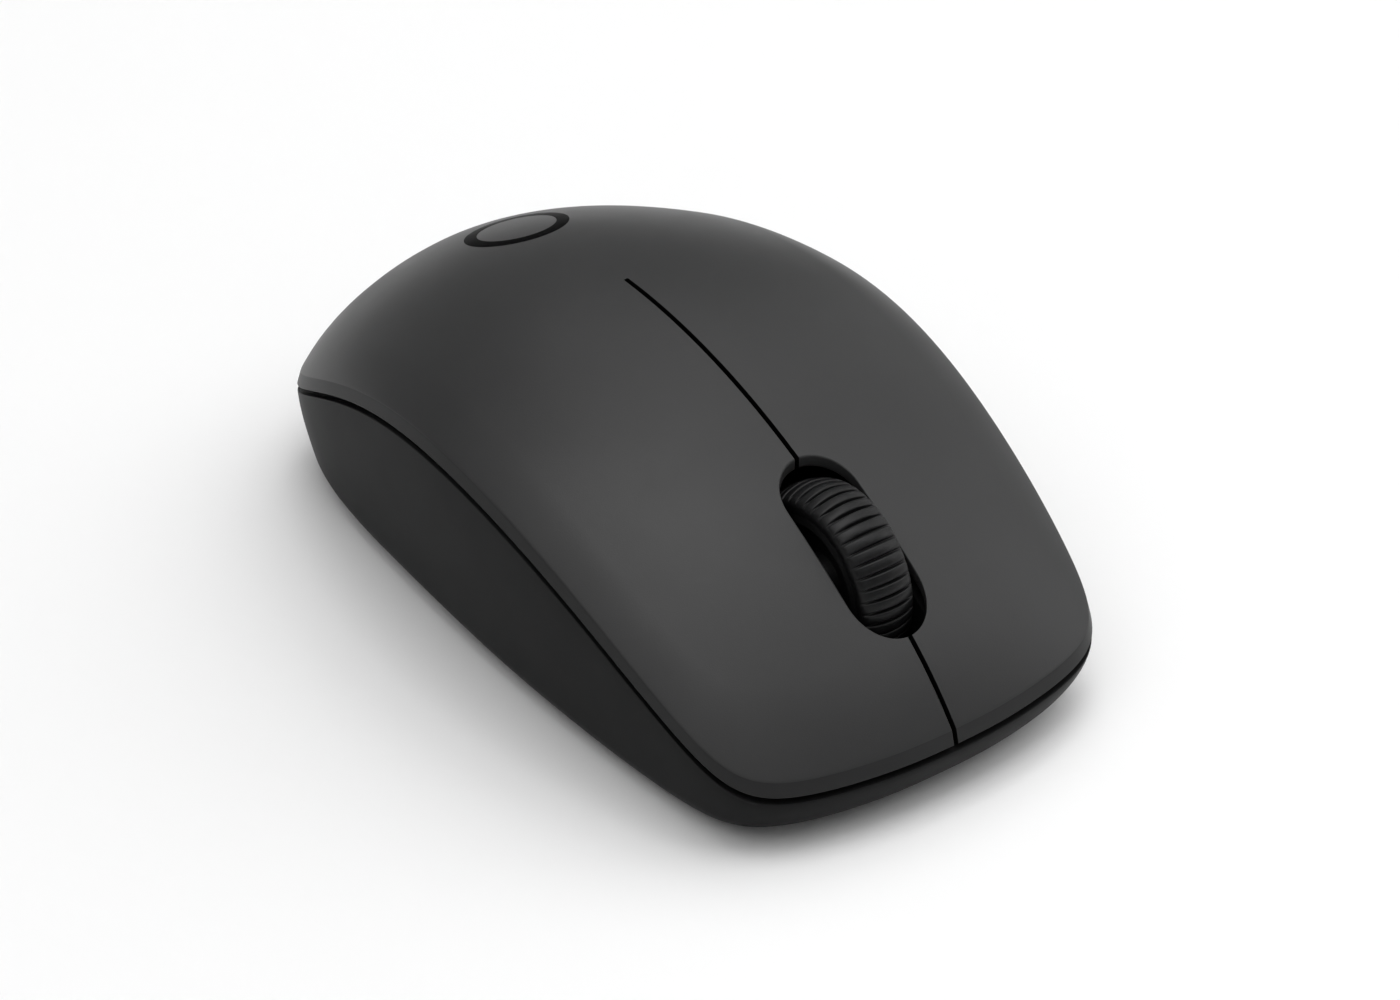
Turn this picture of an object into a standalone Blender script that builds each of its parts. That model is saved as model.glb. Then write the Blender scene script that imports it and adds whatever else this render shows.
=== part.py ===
"""A compact wireless computer mouse, built as the separate pieces it comes apart into.

Lengths are in millimetres here and become metres in the helpers. The button end points to -Y,
+Z is up, and Z = 0 is the surface that the glide feet stand on.
"""

from math import comb, cos, hypot, pi, radians, sin, sqrt

import bmesh
import bpy
from mathutils import Matrix, Vector

MM = 0.001

# Plan outline: control points of a cubic B-spline, from the front centre to the rear centre.
HALF_OUTLINE = (
    (0, -50), (8.8, -50), (24.1, -46.8), (27.4, -38.4), (29.6, -19.2),
    (30.6, 0), (29.1, 21.2), (25.9, 46.1), (13.8, 50), (0, 50),
)
FRONT_Y = -50
REAR_Y = 50
HEART_Y = 5.1  # the rings of both shells shrink towards this point of the centre line

# Values that vary along the mouse are Bezier controls, from the front to the rear.
SPINE_HEIGHT = (10.7, 27.6, 37.8, 37.0, 39.5, 18.9)
CROSS_BEND = (0.0056, 0.0147, -0.0012, 0.0117, 0.0163)  # fall of the crown per mm squared of X
EDGE_RADIUS = (4.1, 2.7, 7.9)
BASE_TAPER = (3.7, 2.5, 2.9)
# This one runs along the outline, from the front centre to the rear centre.
LIP_HEIGHT = (3.2, 2.25, 2.4, 2.45, 6.6)

COVER_WALL = 1.6
BASE_WALL = 1.8
UNDERSIDE_Z = 0.6
BASE_ROUND = 2.9
BASE_TAPER_POWER = 1.5
TONGUE_INSET = 2.2
TONGUE_WALL = 1.0
TONGUE_RISE = 1.1
LEDGE_DROP = 2.8  # the ledge under the tongue slopes into the wall this far below the rim
SEAM_GAP = 0.4
GAP = 0.3

# Keys: they flex about a line just behind the slit between them.
KEY_HINGE_Y = 12.5
KEY_HINGE_Z = 34.4
KEY_SWING = radians(0.5)
KEY_CLEARANCE = 0.2  # what is left of the seam in front of a pressed key
SLIT_WIDTH = 0.5
SLOT_HALF_WIDTH = 4.8
SLOT_FRONT_Y = -41.3
SLOT_REAR_Y = -20.9

# Scroll wheel, its cradle and the switch under it.
WHEEL_Y = -27.9
WHEEL_Z = 17.6
WHEEL_RADIUS = 10.6
WHEEL_HALF_WIDTH = 3.5
TREAD_CROWN = 0.66
RIM_RADIUS = 8.6
AXLE_RADIUS = 1.25
ARM_INNER_X = 5.0
ARM_OUTER_X = 6.2
DISC_INNER_X = 9.0
DISC_OUTER_X = 9.8
DISC_RADIUS = 4.5
DISC_SLOT_RADIUS = 3.4
PIVOT_Y = -13.0
PIVOT_Z = 15.5
PIVOT_RADIUS = 1.2
BAR_Y = -39.6
SPRING_X = -8.3
SPRING_Y = -36.3
SPRING_TOP = 13.0
MIDDLE_SWITCH_Y = -40.8

# Circuit board and what stands on it.
BOARD_HALF_WIDTH = 21
BOARD_FRONT_Y = -44.2
BOARD_REAR_Y = -10.9
BOARD_LOW = 6.8
BOARD_TOP = 8.0
KEY_SWITCH_X = 15.7
KEY_SWITCH_Y = -30
KEY_PLUNGER_Y = -32.5
KEY_SWITCH_TOP = 14.5
KEY_PLUNGER_TOP = 15.1
SENSOR_Y = -15.0
BOARD_SCREW_X = 18.0
BOARD_SCREW_Y = -16.5

# Battery bay, door and receiver pocket in the underside.
CELL_RADIUS = 7.15
CELL_FRONT_Y = -6.8
CELL_REAR_Y = 43.7
CELL_Z = 9.9
BAY_HALF_WIDTH = 8.0
BAY_FRONT_Y = -9.6
BAY_REAR_Y = 44.6
BAY_TOP = 17.3
BAY_WALL = 0.9
DOOR_HALF_WIDTH = 8.2
DOOR_FRONT_Y = -7.6
DOOR_REAR_Y = 43.0
DOOR_TOP = 2.2
DOOR_GAP = 0.35
POCKET_X = 15.2
POCKET_Y = 4.0
RECEIVER_WIDTH = 14.4
RECEIVER_THICKNESS = 6.2
POCKET_TOP = 20.6
POWER_X = -12.0
POWER_Y = -17.0
POWER_TRAVEL = 2.5
HOUSING_SCREW_X = 15.5
HOUSING_SCREW_Y = 26.0

SPAN_STEPS = 3  # outline points in each span of the B-spline


# ---------------------------------------------------------------- scene and materials

for old in list(bpy.data.objects):
    bpy.data.objects.remove(old, do_unlink=True)

PARTS = bpy.data.collections.new("computer_mouse")
CUTTERS = bpy.data.collections.new("cutters")
for collection in (PARTS, CUTTERS):
    bpy.context.scene.collection.children.link(collection)


def material(name, colour, roughness, metallic=0.0):
    made = bpy.data.materials.new(name)
    made.use_nodes = True
    shader = made.node_tree.nodes["Principled BSDF"]
    shader.inputs["Base Color"].default_value = (*colour, 1)
    shader.inputs["Roughness"].default_value = roughness
    shader.inputs["Metallic"].default_value = metallic
    return made


MATTE_BLACK = material("matte_black_plastic", (0.035, 0.035, 0.036), 0.55)
INNER_PLASTIC = material("inner_plastic", (0.02, 0.02, 0.02), 0.5)
WHEEL_RUBBER = material("wheel_rubber", (0.016, 0.016, 0.017), 0.45)
BOARD_GREEN = material("board_green", (0.02, 0.11, 0.04), 0.4)
SWITCH_BODY = material("switch_plastic", (0.03, 0.03, 0.035), 0.4)
SWITCH_WHITE = material("switch_plunger", (0.75, 0.74, 0.7), 0.4)
STEEL = material("steel", (0.62, 0.61, 0.6), 0.3, 1.0)
CHIP_BLACK = material("chip_black", (0.015, 0.015, 0.016), 0.35)
CLEAR_LENS = material("clear_lens", (0.85, 0.88, 0.9), 0.05)
LED_RED = material("led_red", (0.6, 0.03, 0.02), 0.15)
CELL_WRAP = material("battery_wrap", (0.03, 0.05, 0.12), 0.3)
GLIDE = material("glide", (0.05, 0.05, 0.05), 0.35)
CONTACT_BLACK = material("receiver_tongue", (0.02, 0.02, 0.02), 0.5)


# ---------------------------------------------------------------- helpers


def point(x, y, z):
    return Vector((x, y, z)) * MM


def add(name, mesh, finish, is_cutter=False):
    """A new object in its collection, shaded smooth except across sharp edges."""
    obj = bpy.data.objects.new(name, mesh)
    (CUTTERS if is_cutter else PARTS).objects.link(obj)
    if is_cutter:
        obj.hide_render = True
        obj.display_type = "WIRE"
    else:
        mesh.materials.append(finish)
        mesh.shade_smooth()
        mesh.set_sharp_from_angle(angle=radians(32))
    return obj


def from_bmesh(name, shape, finish, is_cutter=False):
    mesh = bpy.data.meshes.new(name)
    shape.to_mesh(mesh)
    shape.free()
    return add(name, mesh, finish, is_cutter)


def box(name, low, high, finish=None, is_cutter=False, bevel=0):
    """A block between two corners."""
    low, high = point(*low), point(*high)
    size = Matrix.Diagonal((*(high - low), 1))
    shape = bmesh.new()
    bmesh.ops.create_cube(shape, size=1, matrix=Matrix.Translation((low + high) / 2) @ size)
    if bevel:
        bmesh.ops.bevel(shape, geom=shape.edges, offset=bevel * MM, segments=1, affect="EDGES")
    return from_bmesh(name, shape, finish, is_cutter)


def rod(name, radius, start, end, finish=None, is_cutter=False, segments=24):
    """A round bar between two points."""
    start, end = point(*start), point(*end)
    run = end - start
    turn = Vector((0, 0, 1)).rotation_difference(run).to_matrix().to_4x4()
    shape = bmesh.new()
    bmesh.ops.create_cone(
        shape, cap_ends=True, segments=segments, radius1=radius * MM, radius2=radius * MM,
        depth=run.length, matrix=Matrix.Translation((start + end) / 2) @ turn,
    )
    return from_bmesh(name, shape, finish, is_cutter)


def turned(name, profile, centre, along, finish, steps=32, closed=False):
    """A profile of (radius, height) pairs, top first, turned about the line through centre."""
    mesh = bpy.data.meshes.new(name)
    corners = [point(radius, 0, height) for radius, height in profile]
    edges = [(i, i + 1) for i in range(len(corners) - 1)]
    if closed:
        edges.append((len(corners) - 1, 0))
    mesh.from_pydata(corners, edges, [])
    obj = add(name, mesh, finish)
    obj.location = point(*centre)
    obj.rotation_euler = Vector((0, 0, 1)).rotation_difference(Vector(along)).to_euler()
    screw = obj.modifiers.new("turn", "SCREW")
    screw.steps = steps
    screw.render_steps = steps
    screw.use_merge_vertices = True
    screw.merge_threshold = 0.00001
    return obj


def mesh_of(obj, name, finish, is_cutter=False):
    """The curve object as a welded mesh object of the same name."""
    bpy.context.view_layer.update()
    evaluated = obj.evaluated_get(bpy.context.evaluated_depsgraph_get())
    mesh = bpy.data.meshes.new_from_object(evaluated)
    place = obj.matrix_world.copy()
    bpy.data.objects.remove(obj, do_unlink=True)
    shape = bmesh.new()
    shape.from_mesh(mesh)
    bmesh.ops.remove_doubles(shape, verts=shape.verts, dist=0.000001)
    bmesh.ops.recalc_face_normals(shape, faces=shape.faces)
    shape.to_mesh(mesh)
    shape.free()
    mesh.transform(place)
    mesh.name = name
    return add(name, mesh, finish, is_cutter)


def extruded(name, outline, low, high, finish=None, is_cutter=False, along="Z"):
    """A flat outline with thickness from low to high. Along X, the outline is (Y, Z) pairs."""
    curve = bpy.data.curves.new(name, "CURVE")
    curve.dimensions = "2D"
    curve.fill_mode = "BOTH"
    curve.extrude = (high - low) / 2 * MM
    spline = curve.splines.new("POLY")
    spline.points.add(len(outline) - 1)
    for knot, (a, b) in zip(spline.points, outline):
        knot.co = (a * MM, b * MM, 0, 1)
    spline.use_cyclic_u = True
    obj = bpy.data.objects.new(name + "_curve", curve)
    PARTS.objects.link(obj)
    lift = Matrix.Translation(point(0, 0, (low + high) / 2))
    turn = Matrix(((0, 0, 1), (1, 0, 0), (0, 1, 0))).to_4x4() if along == "X" else Matrix()
    obj.matrix_world = turn @ lift
    return mesh_of(obj, name, finish, is_cutter)


def tube(name, points, radius, finish, sides=2):
    """A wire through the points."""
    curve = bpy.data.curves.new(name, "CURVE")
    curve.dimensions = "3D"
    curve.bevel_depth = radius * MM
    curve.bevel_resolution = sides
    curve.use_fill_caps = True
    spline = curve.splines.new("POLY")
    spline.points.add(len(points) - 1)
    for knot, place in zip(spline.points, points):
        knot.co = (*point(*place), 1)
    obj = bpy.data.objects.new(name, curve)
    obj.data.materials.append(finish)
    PARTS.objects.link(obj)
    return obj


def boolean(obj, other, operation):
    modifier = obj.modifiers.new(operation.lower(), "BOOLEAN")
    modifier.operation = operation
    modifier.object = other
    return obj


def cut(obj, *cutters):
    for cutter in cutters:
        boolean(obj, cutter, "DIFFERENCE")
    return obj


def join(obj, *others):
    for other in others:
        boolean(obj, other, "UNION")
    return obj


def arc(centre, radius, start, end, steps):
    """Points of an arc, with its angles in degrees."""
    angles = [radians(start + (end - start) * i / steps) for i in range(steps + 1)]
    return [(centre[0] + radius * cos(a), centre[1] + radius * sin(a)) for a in angles]


def rounded_rectangle(x0, x1, y0, y1, radius, steps=4):
    corners = ((x1, y0, -90), (x1, y1, 0), (x0, y1, 90), (x0, y0, 180))
    outline = []
    for x, y, start in corners:
        centre = (x + (radius if x == x0 else -radius), y + (radius if y == y0 else -radius))
        outline += arc(centre, radius, start, start + 90, steps)
    return outline


def stadium(x, y0, y1, half_width, steps=12):
    front = arc((x, y0 + half_width), half_width, 180, 360, steps)
    rear = arc((x, y1 - half_width), half_width, 0, 180, steps)
    return front + rear


def set_origin(obj, x, y, z):
    """Moves the object's origin onto its joint's axis and leaves its shape in place."""
    target = point(x, y, z)
    obj.data.transform(Matrix.Translation(obj.location - target))
    obj.location = target


# ---------------------------------------------------------------- the two shells


def bezier(share, controls):
    degree = len(controls) - 1
    return sum(
        value * comb(degree, i) * share**i * (1 - share) ** (degree - i)
        for i, value in enumerate(controls)
    )


def along_body(y, controls):
    return bezier(min(max((y - FRONT_Y) / (REAR_Y - FRONT_Y), 0), 1), controls)


def crown(x, y):
    """Height of the outer top surface over a point of the plan."""
    return along_body(y, SPINE_HEIGHT) - along_body(y, CROSS_BEND) * x * x


def half_outline():
    """Points of the B-spline from the front centre to the rear centre, on the +X side."""
    first, last = HALF_OUTLINE[1], HALF_OUTLINE[-2]
    knots = [(-first[0], first[1]), *HALF_OUTLINE, (-last[0], last[1])]
    points = []
    for i in range(len(knots) - 3):
        for step in range(SPAN_STEPS):
            t = step / SPAN_STEPS
            weights = ((1 - t) ** 3, 3 * t**3 - 6 * t * t + 4, -3 * t**3 + 3 * t * t + 3 * t + 1, t**3)
            points.append(
                tuple(sum(w * knot[k] for w, knot in zip(weights, knots[i : i + 4])) / 6 for k in (0, 1))
            )
    return [*points, HALF_OUTLINE[-1]]


def seam_gap(y):
    """The seam is wide enough in front for the keys to swing down into it."""
    return max(SEAM_GAP, KEY_CLEARANCE + KEY_SWING * (KEY_HINGE_Y - y))


def rays():
    """Each ray of the outline: direction, length, rim heights of cover and base, and Y."""
    half = half_outline()
    steps = [hypot(b[0] - a[0], b[1] - a[1]) for a, b in zip(half, half[1:])]
    total = sum(steps)
    found = []
    for i, (x, y) in enumerate(half):
        seam = crown(x, y) - bezier(sum(steps[:i]) / total, LIP_HEIGHT)
        reach = hypot(x, y - HEART_Y)
        gap = seam_gap(y)
        found.append((x / reach, (y - HEART_Y) / reach, reach, seam + gap / 2, seam - gap / 2, y))
    mirrored = [(-ray[0], *ray[1:]) for ray in found[-2:0:-1]]
    return found + mirrored


def on_ray(ray, distance, height):
    return (ray[0] * distance, HEART_Y + ray[1] * distance, height)


def cover_point(ray, wall, share, angle):
    """A point of the cover's outer (wall 0) or inner surface. Share runs to where the edge's
    rounding starts, and angle runs round it."""
    dx, dy, reach, rim, _, y = ray
    edge = along_body(y, EDGE_RADIUS)
    distance = share * (reach - edge) + (edge - wall) * sin(angle)
    x, at_y, _ = on_ray(ray, distance, 0)
    lip = crown(dx * (reach - wall), HEART_Y + dy * (reach - wall)) - wall - rim
    return (x, at_y, crown(x, at_y) - wall - lip * (1 - cos(angle)))


def base_point(ray, wall, height):
    """A point of the base's outer (wall 0) or inner surface at a height over its floor."""
    _, _, reach, _, rim, y = ray
    floor = UNDERSIDE_Z + wall
    rounding = BASE_ROUND - wall
    taper = along_body(y, BASE_TAPER) * max(0, (rim - height) / (rim - UNDERSIDE_Z)) ** BASE_TAPER_POWER
    deep = min(max(1 - (height - floor) / rounding, 0), 1)
    return on_ray(ray, reach - wall - taper - rounding * (1 - sqrt(1 - deep * deep)), height)


def loft(name, centre_first, rings, centre_last, finish):
    """Rings of the same number of points, joined in order and closed at both centres."""
    shape = bmesh.new()
    first = shape.verts.new(point(*centre_first))
    last = shape.verts.new(point(*centre_last))
    loops = [[shape.verts.new(point(*place)) for place in ring] for ring in rings]
    count = len(loops[0])
    for i in range(count):
        j = (i + 1) % count
        shape.faces.new((first, loops[0][i], loops[0][j]))
        shape.faces.new((last, loops[-1][j], loops[-1][i]))
        for inner, outer in zip(loops, loops[1:]):
            shape.faces.new((inner[i], outer[i], outer[j], inner[j]))
    bmesh.ops.recalc_face_normals(shape, faces=shape.faces)
    return from_bmesh(name, shape, finish)


def cover_blank(name):
    """The whole top cover, from which the keys and the palm cover are cut."""
    shares = (0.2, 0.4, 0.6, 0.8, 1)
    angles = [radians(a) for a in (30, 60, 90)]
    outer = [[cover_point(ray, 0, share, 0) for ray in RAYS] for share in shares]
    outer += [[cover_point(ray, 0, 1, angle) for ray in RAYS] for angle in angles]
    inner = [[cover_point(ray, COVER_WALL, 1, angle) for ray in RAYS] for angle in angles[::-1]]
    inner += [[cover_point(ray, COVER_WALL, share, 0) for ray in RAYS] for share in shares[::-1]]
    top = crown(0, HEART_Y)
    heart = (0, HEART_Y, top)
    return loft(name, heart, outer + inner, (0, HEART_Y, top - COVER_WALL), MATTE_BLACK)


def base_blank(name):
    """The tray-shaped bottom shell, with a tongue standing inside its rim."""

    def wall_ring(wall, share):
        bottom = UNDERSIDE_Z + BASE_ROUND
        return [base_point(ray, wall, bottom + (ray[4] - bottom) * share) for ray in RAYS]

    def round_ring(wall, angle):
        drop = (BASE_ROUND - wall) * (1 - sin(angle))
        return [base_point(ray, wall, UNDERSIDE_Z + wall + drop) for ray in RAYS]

    def rim_ring(inset, rise):
        return [on_ray(ray, ray[2] - inset, ray[4] + rise) for ray in RAYS]

    def floor_ring(wall):
        edge = [base_point(ray, wall, UNDERSIDE_Z + wall) for ray in RAYS]
        return [(x * 0.5, HEART_Y + (y - HEART_Y) * 0.5, z) for x, y, z in edge]

    angles = [radians(a) for a in (30, 60, 90)]
    inner = [floor_ring(BASE_WALL)] + [round_ring(BASE_WALL, angle) for angle in angles[::-1]]
    inner += [wall_ring(BASE_WALL, 0)]
    inner += [[base_point(ray, BASE_WALL, ray[4] - LEDGE_DROP) for ray in RAYS]]
    tongue_inner = TONGUE_INSET + TONGUE_WALL
    rim = [rim_ring(tongue_inner, -TONGUE_WALL), rim_ring(tongue_inner, TONGUE_RISE)]
    rim += [rim_ring(TONGUE_INSET, TONGUE_RISE), rim_ring(TONGUE_INSET, 0)]
    outer = [wall_ring(0, share) for share in (1, 0.75, 0.4, 0)]
    outer += [round_ring(0, angle) for angle in angles] + [floor_ring(0)]
    inside = (0, HEART_Y, UNDERSIDE_Z + BASE_WALL)
    return loft(name, inside, inner + rim + outer, (0, HEART_Y, UNDERSIDE_Z), MATTE_BLACK)


RAYS = rays()
EVERYWHERE = 80


def half_space(name, axis, above=None, below=None):
    """A large block that covers everything above or below a plane."""
    low = [-EVERYWHERE] * 3
    high = [EVERYWHERE] * 3
    if above is not None:
        low[axis] = above
    if below is not None:
        high[axis] = below
    return box(name, low, high, is_cutter=True)


def post_top(x, y):
    """Height at which a post under the cover ends inside its wall."""
    return crown(x, y) - COVER_WALL + 0.15


def make_covers():
    slot = extruded(
        "slot_cutter", stadium(0, SLOT_FRONT_Y, SLOT_REAR_Y, SLOT_HALF_WIDTH), 0, 60, is_cutter=True
    )
    behind_keys = half_space("behind_keys", 1, above=KEY_HINGE_Y - GAP / 2)
    before_palm = half_space("before_palm", 1, below=KEY_HINGE_Y + GAP / 2)
    for name, side in (("left_key", 1), ("right_key", -1)):
        key = cover_blank(name)
        edge = side * SLIT_WIDTH / 2
        limits = {"below": edge} if side > 0 else {"above": edge}
        cut(key, behind_keys, half_space(name + "_other_side", 0, **limits), slot)
        x = side * KEY_SWITCH_X
        ends = (x, KEY_PLUNGER_Y, KEY_PLUNGER_TOP + GAP), (x, KEY_PLUNGER_Y, post_top(x, KEY_PLUNGER_Y))
        join(key, rod(name + "_post", 1.4, *ends, is_cutter=True, segments=16))
        set_origin(key, 0, KEY_HINGE_Y, KEY_HINGE_Z)
    palm = cut(cover_blank("palm_cover"), before_palm)
    for side in (-1, 1):
        x = side * HOUSING_SCREW_X
        low = UNDERSIDE_Z + BASE_WALL + GAP
        ends = (x, HOUSING_SCREW_Y, low), (x, HOUSING_SCREW_Y, post_top(x, HOUSING_SCREW_Y))
        pilot_ends = (x, HOUSING_SCREW_Y, low - 1), (x, HOUSING_SCREW_Y, low + 10)
        join(palm, rod("palm_boss", 2.3, *ends, is_cutter=True, segments=16))
        cut(palm, rod("palm_pilot", 1.25, *pilot_ends, is_cutter=True, segments=12))


def make_base():
    base = base_blank("bottom_shell")
    floor_mid = UNDERSIDE_Z + BASE_WALL / 2
    floor_top = UNDERSIDE_Z + BASE_WALL
    bay_low = (-BAY_HALF_WIDTH - BAY_WALL, BAY_FRONT_Y - BAY_WALL, floor_mid)
    bay_high = (BAY_HALF_WIDTH + BAY_WALL, BAY_REAR_Y + BAY_WALL, BAY_TOP + BAY_WALL)
    pocket_x = (RECEIVER_THICKNESS / 2 + GAP + 0.05, RECEIVER_THICKNESS / 2 + GAP + 1.2)
    pocket_y = (RECEIVER_WIDTH / 2 + GAP + 0.05, RECEIVER_WIDTH / 2 + GAP + 1.2)
    join(
        base,
        box("bay_walls", bay_low, bay_high, is_cutter=True),
        box(
            "pocket_walls",
            (POCKET_X - pocket_x[1], POCKET_Y - pocket_y[1], floor_mid),
            (POCKET_X + pocket_x[1], POCKET_Y + pocket_y[1], POCKET_TOP + 1.1),
            is_cutter=True,
        ),
    )
    for side in (-1, 1):
        x = side * BOARD_SCREW_X
        ends = (x, BOARD_SCREW_Y, floor_mid), (x, BOARD_SCREW_Y, BOARD_LOW - GAP)
        join(base, rod("board_boss", 2.4, *ends, is_cutter=True, segments=16))
        pilot = (x, BOARD_SCREW_Y, floor_top), (x, BOARD_SCREW_Y, BOARD_LOW + 1)
        cut(base, rod("board_pilot", 1.1, *pilot, is_cutter=True, segments=12))
        x = side * HOUSING_SCREW_X
        hole = (x, HOUSING_SCREW_Y, -1), (x, HOUSING_SCREW_Y, 5)
        sink = (x, HOUSING_SCREW_Y, -1), (x, HOUSING_SCREW_Y, floor_mid)
        cut(base, rod("screw_hole", 1.5, *hole, is_cutter=True, segments=16))
        cut(base, rod("screw_sink", 2.8, *sink, is_cutter=True, segments=20))
    bay = box(
        "bay_hollow", (-BAY_HALF_WIDTH, BAY_FRONT_Y, floor_mid + 0.9),
        (BAY_HALF_WIDTH, BAY_REAR_Y, BAY_TOP), is_cutter=True,
    )
    opening = rounded_rectangle(
        -DOOR_HALF_WIDTH - DOOR_GAP, DOOR_HALF_WIDTH + DOOR_GAP,
        DOOR_FRONT_Y - DOOR_GAP, DOOR_REAR_Y + DOOR_GAP, 3,
    )
    door_hole = extruded("door_hole", opening, -1, floor_top + 0.05, is_cutter=True)
    pocket = box(
        "pocket_hollow", (POCKET_X - pocket_x[0], POCKET_Y - pocket_y[0], -1),
        (POCKET_X + pocket_x[0], POCKET_Y + pocket_y[0], POCKET_TOP), is_cutter=True,
    )
    window = extruded(
        "sensor_window", stadium(0, SENSOR_Y - 4.6, SENSOR_Y + 3.4, 3.3, steps=9), -1, 4, is_cutter=True
    )
    reach = POWER_TRAVEL / 2 + 2.7
    power = extruded(
        "power_window", rounded_rectangle(POWER_X - 2, POWER_X + 2, POWER_Y - reach, POWER_Y + reach, 0.8),
        -1, 4, is_cutter=True,
    )
    cut(base, bay, door_hole, pocket, window, power)


# ---------------------------------------------------------------- underside pieces


def make_underside():
    outline = rounded_rectangle(-DOOR_HALF_WIDTH, DOOR_HALF_WIDTH, DOOR_FRONT_Y, DOOR_REAR_Y, 2.65)
    door = extruded("battery_door", outline, UNDERSIDE_Z, DOOR_TOP, MATTE_BLACK)
    for i in range(4):
        y = DOOR_REAR_Y - 5 - 1.6 * i
        low, high = (-4, y - 0.4, UNDERSIDE_Z - 1), (4, y + 0.4, UNDERSIDE_Z + 0.4)
        cut(door, box("door_grip", low, high, is_cutter=True))
    set_origin(door, 0, DOOR_FRONT_Y, UNDERSIDE_Z)
    foot_top = UNDERSIDE_Z - 0.1
    front_foot = rounded_rectangle(-11.5, 11.5, -42.6, -38.4, 2.05)
    extruded("front_glide", front_foot, 0, foot_top, GLIDE)
    for name, side in (("left_glide", 1), ("right_glide", -1)):
        extruded(name, stadium(side * 14.2, 32.2, 40.6, 2.1), 0, foot_top, GLIDE)
    for name, side in (("left_housing_screw", 1), ("right_housing_screw", -1)):
        head = UNDERSIDE_Z + 0.15
        profile = [(0, 9), (0.95, 8.6), (0.95, head + 0.7), (2.3, head + 0.6), (2.3, head + 0.1)]
        profile += [(2.1, head), (0, head)]
        turned(name, profile, (side * HOUSING_SCREW_X, HOUSING_SCREW_Y, 0), (0, 0, 1), STEEL, steps=16)
    slider_y = POWER_Y - POWER_TRAVEL / 2
    slider = box(
        "power_slider", (POWER_X - 1.6, slider_y - 2.3, 0.9), (POWER_X + 1.6, slider_y + 2.3, 2.9),
        SWITCH_WHITE, bevel=0.2,
    )
    for i in (-1, 0, 1):
        y = slider_y + 1.1 * i
        low, high = (POWER_X - 3, y - 0.25, 0.5), (POWER_X + 3, y + 0.25, 1.15)
        cut(slider, box("slider_grip", low, high, is_cutter=True))
    stem = box(
        "slider_stem", (POWER_X - 0.7, slider_y - 0.8, 2.5), (POWER_X + 0.7, slider_y + 0.8, 4.6),
        is_cutter=True,
    )
    join(slider, stem)
    switch = box(
        "power_switch_body", (POWER_X - 2.2, POWER_Y - 4.3, 3.3),
        (POWER_X + 2.2, POWER_Y + 4.3, BOARD_LOW - 0.1), STEEL, bevel=0.2,
    )
    channel = box(
        "switch_channel", (POWER_X - 1.1, POWER_Y - POWER_TRAVEL / 2 - 1.3, 3),
        (POWER_X + 1.1, POWER_Y + POWER_TRAVEL / 2 + 1.3, 5), is_cutter=True,
    )
    cut(switch, channel)


def make_receiver():
    half_x = RECEIVER_THICKNESS / 2
    half_y = RECEIVER_WIDTH / 2
    cap_low, cap_top, plug_top = 0.8, 6.8, 19.2
    cap = rounded_rectangle(POCKET_X - half_x, POCKET_X + half_x, POCKET_Y - half_y, POCKET_Y + half_y, 1.4)
    extruded("receiver_cap", cap, cap_low, cap_top, MATTE_BLACK)
    plug_x, plug_y, sheet = 2.25, 6.0, 0.4
    plug = box(
        "receiver_plug", (POCKET_X - plug_x, POCKET_Y - plug_y, cap_top + 0.1),
        (POCKET_X + plug_x, POCKET_Y + plug_y, plug_top), STEEL,
    )
    inside = box(
        "plug_hollow", (POCKET_X - plug_x + sheet, POCKET_Y - plug_y + sheet, cap_top + 1),
        (POCKET_X + plug_x - sheet, POCKET_Y + plug_y - sheet, plug_top + 1), is_cutter=True,
    )
    cut(plug, inside)
    box(
        "receiver_tongue", (POCKET_X - 1.5, POCKET_Y - 5.3, cap_top + 1.1),
        (POCKET_X + 0.3, POCKET_Y + 5.3, plug_top - 0.6), CONTACT_BLACK,
    )


def make_battery():
    length = CELL_REAR_Y - CELL_FRONT_Y
    profile = [(0, length), (2.7, length), (2.7, length - 1), (CELL_RADIUS - 0.5, length - 1)]
    profile += [(CELL_RADIUS, length - 1.5), (CELL_RADIUS, 0.5), (CELL_RADIUS - 0.5, 0), (0, 0)]
    turned("battery", profile, (0, CELL_FRONT_Y, CELL_Z), (0, 1, 0), CELL_WRAP, steps=32)
    spring_turns, knots_per_turn, wire = 3, 14, 0.3
    start_y = BAY_FRONT_Y + 0.2 + wire
    end_y = CELL_FRONT_Y - 0.2 - wire
    coil = []
    for i in range(spring_turns * knots_per_turn + 1):
        share = i / (spring_turns * knots_per_turn)
        angle = 2 * pi * i / knots_per_turn
        radius = 4.6 - 2.4 * share
        at_y = start_y + (end_y - start_y) * share
        coil.append((radius * cos(angle), at_y, CELL_Z + radius * sin(angle)))
    tube("battery_spring_contact", coil, wire, STEEL)
    plate_low, plate_high = (-5, CELL_REAR_Y + 0.25, CELL_Z - 5), (5, CELL_REAR_Y + 0.65, CELL_Z + 5)
    box("battery_plate_contact", plate_low, plate_high, STEEL)


# ---------------------------------------------------------------- circuit board


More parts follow.
